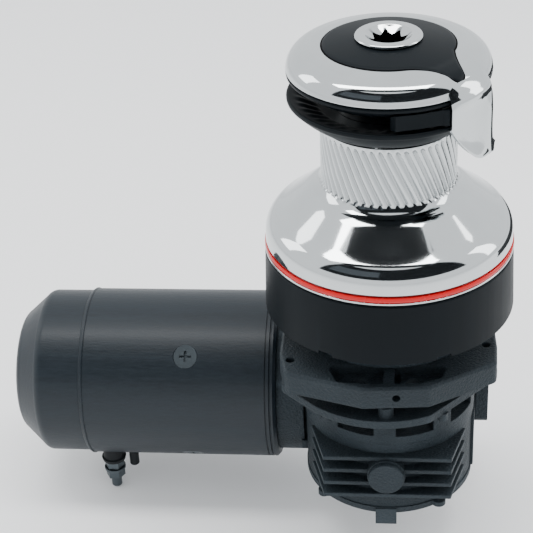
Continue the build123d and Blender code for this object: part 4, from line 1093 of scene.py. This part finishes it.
@dataclass
class Studio:
    """Pale floor, soft boxes and the camera."""

    azimuth: float = 6.564
    elevation: float = 31.383
    roll: float = -2.869
    distance: float = 1.0432
    target: tuple[float, float, float] = (-0.0839, 0.0, 0.0213)
    lens: float = 102.39
    floor_gap: float = 0.001
    floor_size: float = 30.0
    drum_middle: float = 0.1
    aim: tuple[float, float, float] = (-0.06, 0.0, 0.04)
    hanging: float = 4.0
    flag_gap: float = 0.004

    def camera(self) -> None:
        """Puts the camera at its place."""
        a, e, r = (math.radians(v) for v in (self.azimuth, self.elevation, self.roll))
        back = Vector((math.sin(a) * math.cos(e), -math.cos(a) * math.cos(e), math.sin(e)))
        right = (-back).cross(Vector((0.0, 0.0, 1.0))).normalized()
        up = right.cross(-back)
        side = right * math.cos(r) + up * math.sin(r)
        head = up * math.cos(r) - right * math.sin(r)
        data = bpy.data.cameras.new("camera")
        data.lens = self.lens
        data.clip_end = 100.0
        camera = bpy.data.objects.new("camera", data)
        turn = Matrix((side, head, back)).transposed().to_4x4()
        camera.matrix_world = Matrix.Translation(Vector(self.target) + back * self.distance) @ turn
        bpy.context.scene.collection.objects.link(camera)
        bpy.context.scene.camera = camera

    def light(
            self, name: str, place: tuple[float, float, float], size: Place, power: float) -> None:
        """Adds a soft box that faces the object, or straight down where it hangs above it.

        Args:
            name: The light's name.
            place: Where it stands.
            size: Its width and height.
            power: Watts.
        """
        data = bpy.data.lights.new(name, "AREA")
        data.shape = "RECTANGLE"
        data.size, data.size_y = size
        data.energy = power
        lamp = bpy.data.objects.new(name, data)
        aim = Vector(self.aim) - Vector(place)
        if abs(aim.z) < self.hanging * math.hypot(aim.x, aim.y):
            lamp.rotation_euler = aim.to_track_quat("-Z", "Y").to_euler()
        lamp.location = place
        bpy.context.scene.collection.objects.link(lamp)

    def staged(self, name: str, bm: bmesh.types.BMesh, tone: Colour) -> None:
        """Puts a flag on the stage that shows only in reflections.

        Args:
            name: The flag's name.
            bm: Its shape, which is freed.
            tone: Its colour.
        """
        mesh = bpy.data.meshes.new(name)
        bm.to_mesh(mesh)
        bm.free()
        graph = Graph(name)
        mesh.materials.append(graph.surface({"Base Color": (*tone, 1.0), "Roughness": 1.0}))
        made = bpy.data.objects.new(name, mesh)
        bpy.context.scene.collection.objects.link(made)
        made.visible_camera = False
        made.visible_diffuse = False
        made.visible_shadow = False
        made.visible_transmission = False
        made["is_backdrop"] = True

    def ceiling(
            self, name: str, across: Place, depth: Place, height: float, tone: Colour) -> None:
        """Adds a flat flag overhead.

        Args:
            name: The flag's name.
            across: Its first and last X.
            depth: Its first and last Y.
            height: Its height above the drum's middle.
            tone: Its colour.
        """
        bm = bmesh.new()
        bmesh.ops.create_grid(bm, x_segments=1, y_segments=1, size=0.5)
        reshaped(bm, lambda co: Vector((
            across[0] + (across[1] - across[0]) * (co.x + 0.5),
            depth[0] + (depth[1] - depth[0]) * (co.y + 0.5),
            height + self.drum_middle)))
        self.staged(name, bm, tone)

    def flag(
            self, name: str, turns: Place, heights: Place, reach: float, tone: Colour,
            floor: float) -> None:
        """Adds a curved dark flag that shows only in reflections.

        Args:
            name: The flag's name.
            turns: Its first and last direction in degrees; 0 is the front, 90 the right.
            heights: Its lowest and highest elevation in degrees.
            reach: Its distance from the drum in metres.
            tone: Its colour.
            floor: Height that no part of it goes below.
        """
        bm = bmesh.new()
        bmesh.ops.create_grid(bm, x_segments=32, y_segments=12, size=0.5)

        def hung(co: Vector) -> Vector:
            """Puts a grid point on the sphere round the drum."""
            turn = math.radians(turns[0] + (turns[1] - turns[0]) * (co.x + 0.5))
            rise = math.radians(heights[0] + (heights[1] - heights[0]) * (co.y + 0.5))
            flat = math.cos(rise)
            place = Vector((math.sin(turn) * flat, -math.cos(turn) * flat, math.sin(rise))) * reach
            if place.z + self.drum_middle < floor:
                place *= (floor - self.drum_middle) / place.z
            return place + Vector((0.0, 0.0, self.drum_middle))

        reshaped(bm, hung)
        self.staged(name, bm, tone)

    def build(self, lowest: float) -> None:
        """Makes the floor, the light and the camera.

        Args:
            lowest: Height of the object's lowest point.
        """
        bm = bmesh.new()
        bmesh.ops.create_grid(bm, x_segments=2, y_segments=2, size=self.floor_size / 2.0)
        bmesh.ops.translate(bm, verts=bm.verts[:], vec=(0.0, 0.0, lowest - self.floor_gap))
        mesh = bpy.data.meshes.new("floor")
        bm.to_mesh(mesh)
        bm.free()
        graph = Graph("pale_floor")
        tint = graph.noise(graph.places(), 3.0, 2.0)
        mesh.materials.append(graph.surface({
            "Base Color": graph.mixed(tint, (0.93, 0.93, 0.93), (0.91, 0.915, 0.92)),
            "Roughness": 0.9}))
        floor = bpy.data.objects.new("floor", mesh)
        bpy.context.scene.collection.objects.link(floor)
        floor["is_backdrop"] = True
        world = bpy.data.worlds.new("studio")
        world.use_nodes = True
        sky = world.node_tree.nodes["Background"].inputs
        sky["Color"].default_value = (0.95, 0.975, 1.0, 1.0)
        sky["Strength"].default_value = 1.5
        bpy.context.scene.world = world
        self.light("overhead", (-0.15, -0.08, 1.5), (1.7, 0.34), 22.0)
        self.light("left_box", (-1.7, 0.5, 1.0), (0.6, 1.0), 7.0)
        self.light("right_box", (1.5, 0.3, 0.7), (0.4, 1.2), 6.0)
        low = lowest + self.flag_gap
        black = (0.006, 0.008, 0.01)
        self.flag("front_flag", (-62.0, 72.0), (14.0, 60.0), 2.3, black, low)
        self.flag("front_card", (-56.0, -8.0), (26.0, 48.0), 2.2, (0.07, 0.08, 0.09), low)
        self.flag("side_flag", (108.0, 160.0), (-27.0, -12.0), 2.0, black, low)
        self.ceiling("ceiling_flag", (-1.05, 1.0), (-0.77, -0.32), 2.0, black)
        self.camera()


def main() -> None:
    """Builds the winch and its studio."""
    logging.basicConfig(level=logging.INFO, format="%(name)s: %(message)s")
    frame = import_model()
    cad_low, cad_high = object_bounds()
    shop = Workshop(frame)
    shop.dress_nodes()
    assemblies = (
        Drum(), Jaws(), TailingArm(), HandleSocket(), BaseTrim(), MotorTrim(), Castings())
    for assembly in assemblies:
        assembly.build(shop)
        LOG.info("%s done", type(assembly).__name__)
    Studio().build(cad_low.z)


if __name__ == "__main__":
    main()
